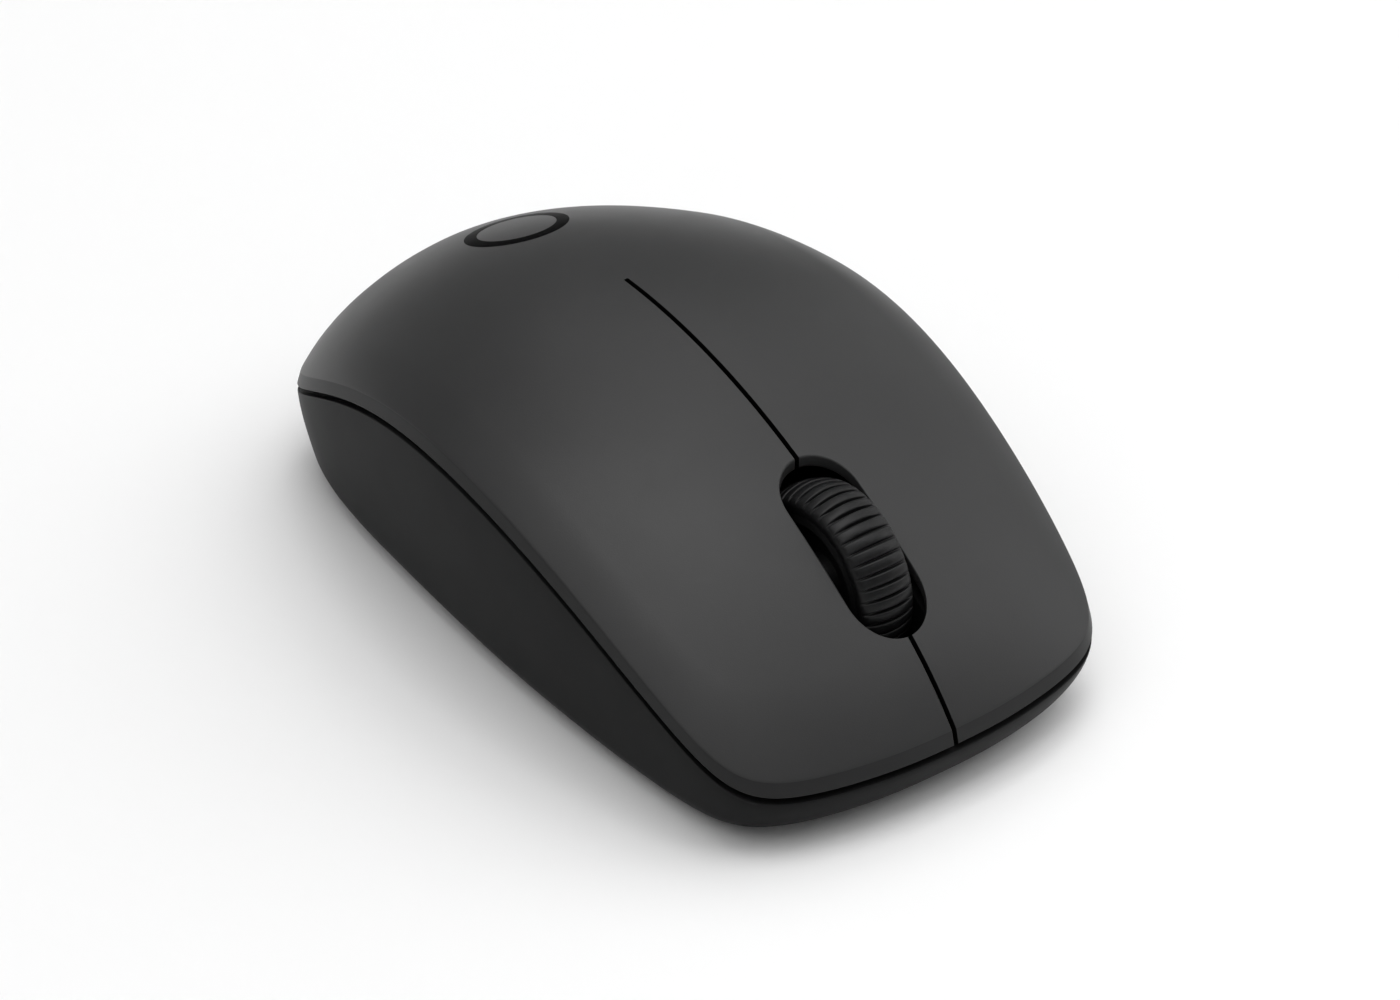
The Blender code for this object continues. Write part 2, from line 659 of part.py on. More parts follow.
def make_board():
    radius = 8
    outline = arc((BOARD_HALF_WIDTH - radius, BOARD_FRONT_Y + radius), radius, -90, 0, 6)
    outline += [(BOARD_HALF_WIDTH, BOARD_REAR_Y), (-BOARD_HALF_WIDTH, BOARD_REAR_Y)]
    outline += arc((radius - BOARD_HALF_WIDTH, BOARD_FRONT_Y + radius), radius, 180, 270, 6)
    board = extruded("circuit_board", outline, BOARD_LOW, BOARD_TOP, BOARD_GREEN)
    under, over = BOARD_LOW - 1, BOARD_TOP + 1
    notch = box("wheel_notch", (-4.6, WHEEL_Y - 6.5, under), (4.6, WHEEL_Y + 6.5, over), is_cutter=True)
    eye = box("eye_hole", (-3.2, SENSOR_Y - 3.2, under), (3.2, SENSOR_Y + 3.2, over), is_cutter=True)
    cut(board, notch, eye)
    for name, side in (("left_board_screw", 1), ("right_board_screw", -1)):
        x = side * BOARD_SCREW_X
        hole = (x, BOARD_SCREW_Y, under), (x, BOARD_SCREW_Y, over)
        cut(board, rod("board_hole", 1.2, *hole, is_cutter=True, segments=12))
        head = BOARD_TOP + 0.1
        profile = [(0, head + 1.2), (1.4, head + 1.1), (2.1, head + 0.5), (2.1, head), (0.85, head)]
        profile += [(0.85, 3.4), (0, 3.0)]
        turned(name, profile, (x, BOARD_SCREW_Y, 0), (0, 0, 1), STEEL, steps=16)


def make_switch(side_name, x, y, half_x, half_y, top, plunger_y, plunger_radius, plunger_top):
    """A push switch soldered to the board, with its plunger in a blind hole."""
    body = box(
        side_name + "_switch_body", (x - half_x, y - half_y, BOARD_TOP + 0.05), (x + half_x, y + half_y, top),
        SWITCH_BODY, bevel=0.25,
    )
    hole_low = BOARD_TOP + 0.7
    hole = (x, plunger_y, hole_low), (x, plunger_y, top + 1)
    cut(body, rod(side_name + "_switch_hole", plunger_radius + 0.2, *hole, is_cutter=True, segments=16))
    rod(
        side_name + "_switch_plunger", plunger_radius, (x, plunger_y, hole_low + 1.0),
        (x, plunger_y, plunger_top), SWITCH_WHITE, segments=16,
    )


def make_electronics():
    for name, side in (("left", 1), ("right", -1)):
        make_switch(
            name, side * KEY_SWITCH_X, KEY_SWITCH_Y, 2.9, 6.4, KEY_SWITCH_TOP,
            KEY_PLUNGER_Y, 0.9, KEY_PLUNGER_TOP,
        )
    make_switch("middle", 0, MIDDLE_SWITCH_Y, 3.0, 2.4, 10.9, MIDDLE_SWITCH_Y, 1.2, 11.7)
    top = BOARD_TOP + 0.05
    box(
        "optical_sensor", (-4.5, SENSOR_Y - 4.1, top), (4.5, SENSOR_Y + 4.1, top + 1.9), CHIP_BLACK, bevel=0.2
    )
    lens_low = UNDERSIDE_Z + BASE_WALL + 0.2
    lens = box(
        "sensor_lens", (-7, SENSOR_Y - 5.6, lens_low), (7, SENSOR_Y + 3.6, BOARD_LOW - 0.1),
        CLEAR_LENS, bevel=0.3,
    )
    eye_ends = (0, SENSOR_Y, lens_low + 1), (0, SENSOR_Y, BOARD_TOP - 0.2)
    join(lens, rod("lens_eye", 2.4, *eye_ends, is_cutter=True))
    led = [(0, 5.2), (0.8, 5.0), (1.3, 4.4), (1.5, 3.6), (1.5, 0.5), (1.8, 0.5), (1.8, 0), (0, 0)]
    turned("tracking_led", led, (12.2, -21.3, 10.3), (-1, 0, 0), LED_RED, steps=20)
    box("led_clip", (7.2, -23.6, top), (9.8, -19.2, top + 0.45), SWITCH_BODY)
    box("controller_chip", (-17.2, -23.0, top), (-9.8, -19.2, top + 1.3), CHIP_BLACK, bevel=0.15)
    extruded("crystal", stadium(-12.2, -43.2, -38.0, 1.5, steps=6), top, top + 2.6, STEEL)
    cap = [(0, 5.4), (1.9, 5.4), (2.1, 5.2), (2.1, 0), (0, 0)]
    turned("capacitor", cap, (9.4, -38.2, top), (0, 0, 1), CELL_WRAP, steps=20)
    for name, low_x in (("encoder_detector", 6.7), ("encoder_emitter", 10.4)):
        low, high = (low_x, WHEEL_Y - 2, top), (low_x + 1.8, WHEEL_Y + 2, 15.4)
        box(name, low, high, CHIP_BLACK if low_x < 8 else CLEAR_LENS, bevel=0.2)


# ---------------------------------------------------------------- scroll wheel


def make_wheel():
    centre = (0, WHEEL_Y, WHEEL_Z)
    profile = [
        (0, DISC_OUTER_X), (DISC_RADIUS, DISC_OUTER_X), (DISC_RADIUS, DISC_INNER_X),
        (AXLE_RADIUS, DISC_INNER_X), (AXLE_RADIUS, 4.2), (2.6, 3.6), (3.2, 1.4), (6.8, 1.2),
        (7.2, 3.2), (RIM_RADIUS, 3.2), (RIM_RADIUS, -3.2), (7.2, -3.2), (6.8, -1.2), (3.2, -1.4),
        (2.6, -3.6), (AXLE_RADIUS, -4.2), (AXLE_RADIUS, -7.4), (0, -7.4),
    ]
    hub = turned("wheel_hub", profile, centre, (1, 0, 0), INNER_PLASTIC, steps=40)
    slots = 12
    for i in range(slots):
        angle = 2 * pi * i / slots
        radial = Vector((0, cos(angle), sin(angle)))
        place = Vector(centre) + radial * DISC_SLOT_RADIUS
        low = (DISC_INNER_X - 1, place.y - 0.45, place.z - 0.45)
        high = (DISC_OUTER_X + 1, place.y + 0.45, place.z + 0.45)
        cut(hub, box("encoder_slot", low, high, is_cutter=True))
    tread = []
    tread_steps = 8
    inner = RIM_RADIUS + GAP
    for i in range(tread_steps + 1):
        share = 1 - 2 * i / tread_steps
        tread.append((WHEEL_RADIUS - TREAD_CROWN * share * share, WHEEL_HALF_WIDTH * share))
    ring = [(inner, WHEEL_HALF_WIDTH), *tread, (inner, -WHEEL_HALF_WIDTH)]
    turned("wheel_tyre", ring, centre, (1, 0, 0), WHEEL_RUBBER, steps=48, closed=True)


def make_cradle():
    """A frame that holds the axle in two open bearings and tips about pins behind the wheel."""
    arm_outline = [
        (PIVOT_Y + 2, PIVOT_Z - 2), (PIVOT_Y + 2, PIVOT_Z + 2), (WHEEL_Y + 3.2, 20.4), (WHEEL_Y - 3.2, 20.4),
        (BAR_Y - 0.8, 14.3), (BAR_Y - 0.8, 12.2), (BAR_Y + 4.5, 12.6), (WHEEL_Y, 15.0), (WHEEL_Y + 6, 13.4),
    ]
    cradle = extruded("wheel_cradle", arm_outline, ARM_INNER_X, ARM_OUTER_X, INNER_PLASTIC, along="X")
    far_arm = extruded("far_arm", arm_outline, -ARM_OUTER_X, -ARM_INNER_X, is_cutter=True, along="X")
    edge = ARM_OUTER_X - 0.5
    front_bar = box("front_bar", (-edge, BAR_Y - 0.8, 12.2), (edge, BAR_Y + 0.6, 14.3), is_cutter=True)
    foot = box("switch_foot", (-1.5, -42.2, 12.0), (1.5, BAR_Y, 13.4), is_cutter=True)
    rear_bar = box(
        "rear_bar", (-edge, PIVOT_Y - 1.2, PIVOT_Z - 1.2), (edge, PIVOT_Y + 1.2, PIVOT_Z + 1.2),
        is_cutter=True,
    )
    lug = box("spring_lug", (-10.2, -38.4, SPRING_TOP), (-edge, -34.2, SPRING_TOP + 1.2), is_cutter=True)
    pins = rod(
        "pivot_pins", PIVOT_RADIUS, (-8.7, PIVOT_Y, PIVOT_Z), (8.7, PIVOT_Y, PIVOT_Z),
        is_cutter=True, segments=20,
    )
    join(cradle, far_arm, front_bar, foot, rear_bar, lug, pins)
    bearing = AXLE_RADIUS + 0.1
    seat = rod(
        "bearing_seat", bearing, (-8, WHEEL_Y, WHEEL_Z), (8, WHEEL_Y, WHEEL_Z), is_cutter=True, segments=20
    )
    neck = bearing - 0.1
    mouth = box("bearing_mouth", (-8, WHEEL_Y - neck, WHEEL_Z), (8, WHEEL_Y + neck, 22), is_cutter=True)
    cut(cradle, seat, mouth)
    set_origin(cradle, 0, PIVOT_Y, PIVOT_Z)
    stand = box("wheel_stand", (-9.2, PIVOT_Y - 1.9, 10.4), (9.2, PIVOT_Y + 1.9, 11.6), INNER_PLASTIC)
    for side in (-1, 1):
        inner, outer = sorted((side * 7.0, side * 9.2))
        leg = box(
            "stand_leg", (inner, PIVOT_Y - 1.9, BOARD_TOP + 0.1), (outer, PIVOT_Y + 1.9, PIVOT_Z + 2.4),
            is_cutter=True,
        )
        join(stand, leg)
    bore = rod(
        "stand_bore", PIVOT_RADIUS + 0.1, (-12, PIVOT_Y, PIVOT_Z), (12, PIVOT_Y, PIVOT_Z),
        is_cutter=True, segments=20,
    )
    cut(stand, bore)
    turns, knots_per_turn, wire, radius = 5, 12, 0.22, 1.4
    low, high = BOARD_TOP + 0.2 + wire, SPRING_TOP - 0.2 - wire
    coil = []
    for i in range(turns * knots_per_turn + 1):
        angle = 2 * pi * i / knots_per_turn
        height = low + (high - low) * i / (turns * knots_per_turn)
        coil.append((SPRING_X + radius * cos(angle), SPRING_Y + radius * sin(angle), height))
    tube("cradle_spring", coil, wire, STEEL)


make_covers()
make_base()
make_underside()
make_receiver()
make_battery()
make_board()
make_electronics()
make_wheel()
make_cradle()
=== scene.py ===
"""Looks for the computer mouse: fine shells, a ribbed tyre, materials, floor, light and camera.

Lengths are in millimetres here and become metres when a mesh is made. The button end points to
-Y, +Z is up, and Z = 0 is the surface that the glide feet stand on.
"""

from math import cos, pi, radians, sin, sqrt

import bmesh
import bpy
import numpy as np
from mathutils import Matrix, Vector
from mathutils.geometry import delaunay_2d_cdt


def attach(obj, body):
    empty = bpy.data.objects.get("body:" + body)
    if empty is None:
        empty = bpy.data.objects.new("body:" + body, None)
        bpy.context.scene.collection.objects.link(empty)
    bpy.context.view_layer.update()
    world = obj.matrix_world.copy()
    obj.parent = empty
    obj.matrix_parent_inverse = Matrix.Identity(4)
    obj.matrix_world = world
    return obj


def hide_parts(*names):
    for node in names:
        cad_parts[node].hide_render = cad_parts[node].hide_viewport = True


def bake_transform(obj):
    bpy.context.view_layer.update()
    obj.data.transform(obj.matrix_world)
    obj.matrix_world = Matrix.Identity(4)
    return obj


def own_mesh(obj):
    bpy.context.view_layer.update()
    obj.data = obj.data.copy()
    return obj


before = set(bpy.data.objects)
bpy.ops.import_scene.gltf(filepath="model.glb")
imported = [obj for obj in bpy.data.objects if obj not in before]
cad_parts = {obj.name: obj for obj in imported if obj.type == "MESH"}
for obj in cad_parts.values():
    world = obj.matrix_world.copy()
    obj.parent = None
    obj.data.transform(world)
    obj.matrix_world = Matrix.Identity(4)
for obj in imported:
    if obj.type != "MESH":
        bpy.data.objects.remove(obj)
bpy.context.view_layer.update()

MM = 0.001
SHARP_ANGLE = 32  # edges sharper than this many degrees are shaded sharp

# The body's shape, as the CAD has it.
HALF_OUTLINE = (
    (0, -50), (8.8, -50), (24.1, -46.8), (27.4, -38.4), (29.6, -19.2),
    (30.6, 0), (29.1, 21.2), (25.9, 46.1), (13.8, 50), (0, 50),
)
FRONT_Y = -50
REAR_Y = 50
HEART_Y = 5.1
SPINE_HEIGHT = (10.7, 27.6, 37.8, 37.0, 39.5, 18.9)
CROSS_BEND = (0.0056, 0.0147, -0.0012, 0.0117, 0.0163)
EDGE_RADIUS = (4.1, 2.7, 7.9)
TOP_EDGE_RADIUS = (9.0, 3.0, 7.9)  # the outer surface rounds more gently near the front
BASE_TAPER = (3.7, 2.5, 2.9)
LIP_HEIGHT = (3.2, 2.25, 2.4, 2.45, 6.6)
REAR_LEVELLING = 0.09  # share of the half outline over which the seam levels out at the rear
COVER_WALL = 1.6
BASE_WALL = 1.8
UNDERSIDE_Z = 0.6
BASE_ROUND = 2.9
BASE_TAPER_POWER = 1.5
TONGUE_INSET = 2.2
TONGUE_WALL = 1.0
TONGUE_RISE = 1.1
LEDGE_DROP = 2.8
SEAM_GAP = 0.74
GAP = 0.3
KEY_HINGE_Y = 12.5
KEY_SWING = radians(0.5)
KEY_CLEARANCE = 0.32
SLIT_HALF_WIDTH = 0.29
SLIT_END_Y = 11.0
SLOT_HALF_WIDTH = 4.8
SLOT_FRONT_Y = -41.3
SLOT_REAR_Y = -20.9
SLIT_EDGE = 0.06
SLOT_EDGE = 0.2
SLOT_UNDER_EDGE = 0.4
RIM_EDGE = 0.12
BAND_HEIGHT = 1.32  # the steep band above the seam
BAND_INSET = 0.5
BAND_EDGE = 0.12

KEY_SWITCH_X = 15.7
KEY_PLUNGER_Y = -32.5
KEY_PLUNGER_TOP = 15.1
KEY_POST_RADIUS = 1.4
HOUSING_SCREW_X = 15.5
HOUSING_SCREW_Y = 26.0
BOSS_RADIUS = 2.3
BOSS_PILOT_RADIUS = 1.25
SCREW_HOLE_RADIUS = 1.5
SCREW_HOLE_TOP = 5
SCREW_SINK_RADIUS = 2.8
BOARD_SCREW_X = 18.0
BOARD_SCREW_Y = -16.5
BOARD_LOW = 6.8
BOARD_TOP = 8.0
BOARD_POST_RADIUS = 2.4
BOARD_PILOT_RADIUS = 1.1
RECESS_DEPTH = 0.5
RECESS_REACH = 1.15
RECESS_HALF_WIDTH = 0.2
RECESS_CORE_RADIUS = 0.45
SENSOR_Y = -15.0
EYE_TO_FRONT = 4.6
EYE_TO_REAR = 3.4
EYE_HALF_WIDTH = 3.3
CUT_LOW = -1  # cuts through the base's floor start below it and end above it
CUT_HIGH = 4
BAY_HALF_WIDTH = 8.0
BAY_FRONT_Y = -9.6
BAY_REAR_Y = 44.6
BAY_TOP = 17.3
BAY_WALL = 0.9
BAY_FLOOR_RISE = 0.9
DOOR_HALF_WIDTH = 8.2
DOOR_FRONT_Y = -7.6
DOOR_REAR_Y = 43.0
DOOR_GAP = 0.35
DOOR_CORNER = 3
POCKET_X = 15.2
POCKET_Y = 4.0
POCKET_TOP = 20.6
POCKET_ROOF = POCKET_TOP + 1.1
POCKET_CORNER = 1.4
POCKET_WALL = 1.2
RECEIVER_WIDTH = 14.4
RECEIVER_THICKNESS = 6.2
POWER_X = -12.0
POWER_Y = -17.0
POWER_TRAVEL = 2.5
POWER_WINDOW_REACH = 2.7
POWER_WINDOW_HALF_WIDTH = 2
POWER_WINDOW_CORNER = 0.8

WHEEL_Y = -27.9
WHEEL_Z = 17.6
WHEEL_RADIUS = 10.85
WHEEL_HALF_WIDTH = 3.5
TREAD_CROWN = 0.95
TREAD_RIBS = 45
TYRE_BORE = 8.5

SPRING_X = -8.3
SPRING_Y = -36.3
SPRING_LOW = 8.2
SPRING_HIGH = 12.8
SPRING_RADIUS = 1.4
SPRING_WIRE = 0.22
SPRING_TURNS = 5
CELL_METAL_Y = 42.3  # the bare steel at the cell's positive end
CELL_COPPER_Y = 31.5
CAN_TOP_Z = 13.35

OUTLINE_STEPS = 16  # outline points in each span of the B-spline
GRID_STEP = 1.2
BORDER_STEP = 0.9

# Camera, as found from the outline, the seam and the slit.
CAMERA_AZIMUTH = radians(-37.352)
CAMERA_ELEVATION = radians(36.225)
CAMERA_ROLL = radians(1.005)
CAMERA_DISTANCE = 582.48
CAMERA_TARGET = (10.876, 10.709, 0)
CAMERA_LENS = 126.81


# ---------------------------------------------------------------- mesh helpers


def point(x, y, z):
    return Vector((x, y, z)) * MM


def add(name, mesh, smooth_angle=SHARP_ANGLE):
    obj = bpy.data.objects.new(name, mesh)
    bpy.context.scene.collection.objects.link(obj)
    mesh.shade_smooth()
    mesh.set_sharp_from_angle(angle=radians(smooth_angle))
    return obj


def from_lists(name, corners, faces):
    """A mesh from corners in millimetres."""
    mesh = bpy.data.meshes.new(name)
    mesh.from_pydata((np.asarray(corners, float) * MM).tolist(), [], faces)
    mesh.validate()
    return mesh


def face_outward(mesh):
    shape = bmesh.new()
    shape.from_mesh(mesh)
    bmesh.ops.recalc_face_normals(shape, faces=shape.faces)
    shape.to_mesh(mesh)
    shape.free()
    return mesh


def from_bmesh(name, shape):
    bmesh.ops.recalc_face_normals(shape, faces=shape.faces)
    mesh = bpy.data.meshes.new(name)
    shape.to_mesh(mesh)
    shape.free()
    return mesh


def block(low, high):
    low, high = point(*low), point(*high)
    shape = bmesh.new()
    size = Matrix.Diagonal((*(high - low), 1))
    bmesh.ops.create_cube(shape, size=1, matrix=Matrix.Translation((low + high) / 2) @ size)
    return from_bmesh("block", shape)


def prism(outline, low, high):
    """A flat outline with thickness, standing on its face."""
    shape = bmesh.new()
    bottom = [shape.verts.new(point(x, y, low)) for x, y in outline]
    top = [shape.verts.new(point(x, y, high)) for x, y in outline]
    shape.faces.new(bottom[::-1])
    shape.faces.new(top)
    for i in range(len(outline)):
        j = (i + 1) % len(outline)
        shape.faces.new((bottom[i], bottom[j], top[j], top[i]))
    return from_bmesh("prism", shape)


def arc(centre, radius, start, end, steps):
    angles = [radians(start + (end - start) * i / steps) for i in range(steps + 1)]
    return [(centre[0] + radius * cos(a), centre[1] + radius * sin(a)) for a in angles]


def disc(x, y, radius, low, high, steps=32):
    return prism(arc((x, y), radius, 0, 360, steps)[:-1], low, high)


def rounded_rectangle(x0, x1, y0, y1, radius, steps=8):
    corners = ((x1, y0, -90), (x1, y1, 0), (x0, y1, 90), (x0, y0, 180))
    outline = []
    for x, y, start in corners:
        centre = (x + (radius if x == x0 else -radius), y + (radius if y == y0 else -radius))
        outline += arc(centre, radius, start, start + 90, steps)
    return outline


def stadium(x, y0, y1, half_width, steps=24):
    front = arc((x, y0 + half_width), half_width, 180, 360, steps)
    return front + arc((x, y1 - half_width), half_width, 0, 180, steps)


def post(x, y, radius, low):
    """A round post that ends inside the cover's wall, sloping with it."""
    mesh = disc(x, y, radius, low, 40)
    for vertex in mesh.vertices:
        if vertex.co.z > 30 * MM:
            wall_mid = crown(vertex.co.x / MM, vertex.co.y / MM) - COVER_WALL / 2
            vertex.co.z = float(wall_mid) * MM
    return mesh


def combined(obj, operation, meshes):
    """Obj with the meshes joined on (UNION) or cut out (DIFFERENCE)."""
    others = []
    for mesh in meshes:
        other = bpy.data.objects.new("other", mesh)
        bpy.context.scene.collection.objects.link(other)
        others.append(other)
        modifier = obj.modifiers.new("boolean", "BOOLEAN")
        modifier.operation = operation
        modifier.solver = "EXACT"
        modifier.object = other
    bpy.context.view_layer.update()
    made = bpy.data.meshes.new_from_object(obj.evaluated_get(bpy.context.evaluated_depsgraph_get()))
    obj.modifiers.clear()
    obj.data = made
    for other in others:
        bpy.data.objects.remove(other, do_unlink=True)
    made.shade_smooth()
    made.set_sharp_from_angle(angle=radians(SHARP_ANGLE))
    return obj


# ---------------------------------------------------------------- the body's surfaces


def bezier(share, controls):
    degree = len(controls) - 1
    total, choose = 0, 1
    for i, value in enumerate(controls):
        total = total + value * choose * share**i * (1 - share) ** (degree - i)
        choose = choose * (degree - i) / (i + 1)
    return total


def along_body(y, controls):
    return bezier(np.clip((np.asarray(y, float) - FRONT_Y) / (REAR_Y - FRONT_Y), 0, 1), controls)


def crown(x, y):
    """Height of the outer top surface over points of the plan."""
    return along_body(y, SPINE_HEIGHT) - along_body(y, CROSS_BEND) * x * x


def half_outline():
    """Points of the B-spline from the front centre to the rear centre, on the +X side."""
    first, last = HALF_OUTLINE[1], HALF_OUTLINE[-2]
    knots = np.array([(-first[0], first[1]), *HALF_OUTLINE, (-last[0], last[1])], float)
    points = []
    for i in range(len(knots) - 3):
        for t in np.arange(OUTLINE_STEPS) / OUTLINE_STEPS:
            before, after = 3 * t**3 - 6 * t * t + 4, -3 * t**3 + 3 * t * t + 3 * t + 1
            weights = np.array(((1 - t) ** 3, before, after, t**3))
            points.append(weights @ knots[i : i + 4] / 6)
    return np.array([*points, HALF_OUTLINE[-1]])


HALF = half_outline()
REACH = np.hypot(HALF[:, 0], HALF[:, 1] - HEART_Y)
PHI = np.arctan2(HALF[:, 0], HEART_Y - HALF[:, 1])
EDGE = along_body(HALF[:, 1], EDGE_RADIUS)
TOP_EDGE = along_body(HALF[:, 1], TOP_EDGE_RADIUS)
TRAVELLED = np.concatenate([[0], np.cumsum(np.hypot(*np.diff(HALF, axis=0).T))])
TRAVELLED /= TRAVELLED[-1]
LEVELLED = TRAVELLED - np.maximum(0, TRAVELLED - 1 + REAR_LEVELLING) ** 2 / (2 * REAR_LEVELLING)
SEAM = crown(HALF[:, 0], HALF[:, 1]) - bezier(LEVELLED, LIP_HEIGHT)
HALF_GAP = np.maximum(SEAM_GAP, KEY_CLEARANCE + KEY_SWING * (KEY_HINGE_Y - HALF[:, 1])) / 2
COVER_RIM = SEAM + HALF_GAP
BASE_RIM = SEAM - HALF_GAP


def rim_at(x, y):
    """Angle round the body's heart, distance from it and to the outline, and the rim's values."""
    phi = np.arctan2(np.abs(x), HEART_Y - y)
    distance = np.hypot(x, y - HEART_Y)
    return phi, distance, [np.interp(phi, PHI, row) for row in (REACH, EDGE, TOP_EDGE, COVER_RIM)]


def lip(x, y, wall=0.0):
    """How far the cover falls from its crown to its rim."""
    phi, _, (reach, _, _, rim) = rim_at(x, y)
    rim = rim + (RIM_EDGE if wall == 0 else 0)
    out_x, out_y = np.sin(phi) * (reach - wall), HEART_Y - np.cos(phi) * (reach - wall)
    return crown(out_x, out_y) - wall - rim


def to_slit(x, y):
    """Distance in plan from the slit between the keys."""
    return np.hypot(x, np.maximum(0, y - SLIT_END_Y + SLIT_HALF_WIDTH)) - SLIT_HALF_WIDTH


def to_slot(x, y):
    """Distance in plan from the wheel's slot."""
    front, rear = SLOT_FRONT_Y + SLOT_HALF_WIDTH, SLOT_REAR_Y - SLOT_HALF_WIDTH
    return np.hypot(x, y - np.clip(y, front, rear)) - SLOT_HALF_WIDTH


def fall_at_edge(distance, radius):
    rest = np.clip(radius - distance, 0, radius)
    return radius - np.sqrt(radius**2 - rest**2)


def bare_top(x, y):
    """The cover's outer surface, without the small radii at the slit and the slot."""
    _, distance, (reach, _, edge, _) = rim_at(x, y)
    inset, whole = reach - distance, lip(x, y)
    above = whole - BAND_HEIGHT
    power = np.maximum(2, 1.8 + 0.25 * above)
    rounded = above * np.maximum(0, (edge - inset) / (edge - BAND_INSET)) ** power
    band = whole - inset * BAND_HEIGHT / BAND_INSET
    return crown(x, y) - (rounded + band + np.hypot(rounded - band, BAND_EDGE)) / 2


def top_height(x, y):
    slit = fall_at_edge(to_slit(x, y), SLIT_EDGE)
    return bare_top(x, y) - np.maximum(slit, fall_at_edge(to_slot(x, y), SLOT_EDGE))


def under_height(x, y):
    """The cover's inner surface, its flat rim and the small radius outside that."""
    _, distance, (reach, edge, _, rim) = rim_at(x, y)
    share = np.clip((distance - (reach - edge)) / (edge - COVER_WALL), 0, 1)
    height = crown(x, y) - COVER_WALL - lip(x, y, COVER_WALL) * (1 - np.sqrt(1 - share * share))
    height = height + fall_at_edge(to_slot(x, y), SLOT_UNDER_EDGE)
    outside = distance > reach - COVER_WALL - 1e-9
    return np.where(outside, rim + fall_at_edge(reach - distance, RIM_EDGE), height)


def slope(function, x, y):
    """The function's gradient in plan."""
    h = 0.01
    along_x = (function(x + h, y) - function(x - h, y)) / (2 * h)
    along_y = (function(x, y + h) - function(x, y - h)) / (2 * h)
    return np.stack([along_x, along_y], -1)


def top_normals(x, y):
    """Normals of the top surface, which stay exact at the rim and the cut edges."""
    normals = np.concatenate([-slope(bare_top, x, y), np.ones((len(x), 1))], 1)
    normals /= np.linalg.norm(normals, axis=1)[:, None]
    for away, radius in ((to_slit, SLIT_EDGE), (to_slot, SLOT_EDGE)):
        lean = np.clip((radius - away(x, y)) / radius, 0, 1)[:, None]
        outward = slope(away, x, y)
        outward /= np.maximum(np.linalg.norm(outward, axis=1), 1e-9)[:, None]
        sideways = np.concatenate([-outward, np.zeros((len(x), 1))], 1)
        normals = normals * np.sqrt(1 - lean * lean) + sideways * lean
        normals /= np.linalg.norm(normals, axis=1)[:, None]
    return normals


# ---------------------------------------------------------------- the cover's three pieces


def ring_lines():
    """Curves in plan, on the +X side, along which the cover's edges are shaped."""
    direction = np.stack([np.sin(PHI), -np.cos(PHI)], 1)
    heart = np.array([0, HEART_Y])
    shares = (1, 0.84, 0.7, 0.57, 0.45, 0.34, 0.24, 0.15)
    insets = [BAND_INSET + (TOP_EDGE - BAND_INSET) * share for share in shares]
    steps = (0.22, 0.13, 0.06, 0, -0.06, -0.13, -0.22)
    insets += [np.full_like(EDGE, BAND_INSET + step) for step in steps]
    insets += [np.full_like(EDGE, 0.2), np.zeros_like(EDGE)]
    lines = [heart + direction * (REACH - inset)[:, None] for inset in insets]
    for angle in (30, 60, 90):
        distance = REACH - EDGE + (EDGE - COVER_WALL) * sin(radians(angle))
        lines.append(heart + direction * distance[:, None])
    for angle in (0, 40):
        lines.append(heart + direction * (REACH - RIM_EDGE * (1 - sin(radians(angle))))[:, None])
    return [np.array([line[1] * (-1, 1), *line, line[-2] * (-1, 1)]) for line in lines]


def cut_lines():
    """The slit's and slot's edges, and the curves that shape their small radius."""
    lines = []
    for angle in (90, 65, 40, 0):
        offset = SLIT_EDGE * (1 - sin(radians(angle)))
        radius = SLIT_HALF_WIDTH + offset
        end = arc((0, SLIT_END_Y - SLIT_HALF_WIDTH), radius, 100, 0, 10)
        run = np.arange(SLIT_END_Y - 1.0, FRONT_Y - 1, -1.0)
        lines.append(np.array(end + [(radius, y) for y in run]))
    front, rear = SLOT_FRONT_Y + SLOT_HALF_WIDTH, SLOT_REAR_Y - SLOT_HALF_WIDTH
    rounding = [SLOT_EDGE * (1 - sin(radians(angle))) for angle in (90, 70, 50, 25, 0)]
    for offset in (*rounding, SLOT_UNDER_EDGE * 0.75, SLOT_UNDER_EDGE):
        radius = SLOT_HALF_WIDTH + offset
        sides = [(radius, y) for y in np.linspace(rear, front, 12)[1:-1]]
        start = arc((0, rear), radius, 95, 0, 22)
        lines.append(np.array(start + sides + arc((0, front), radius, 0, -95, 22)))
    return lines


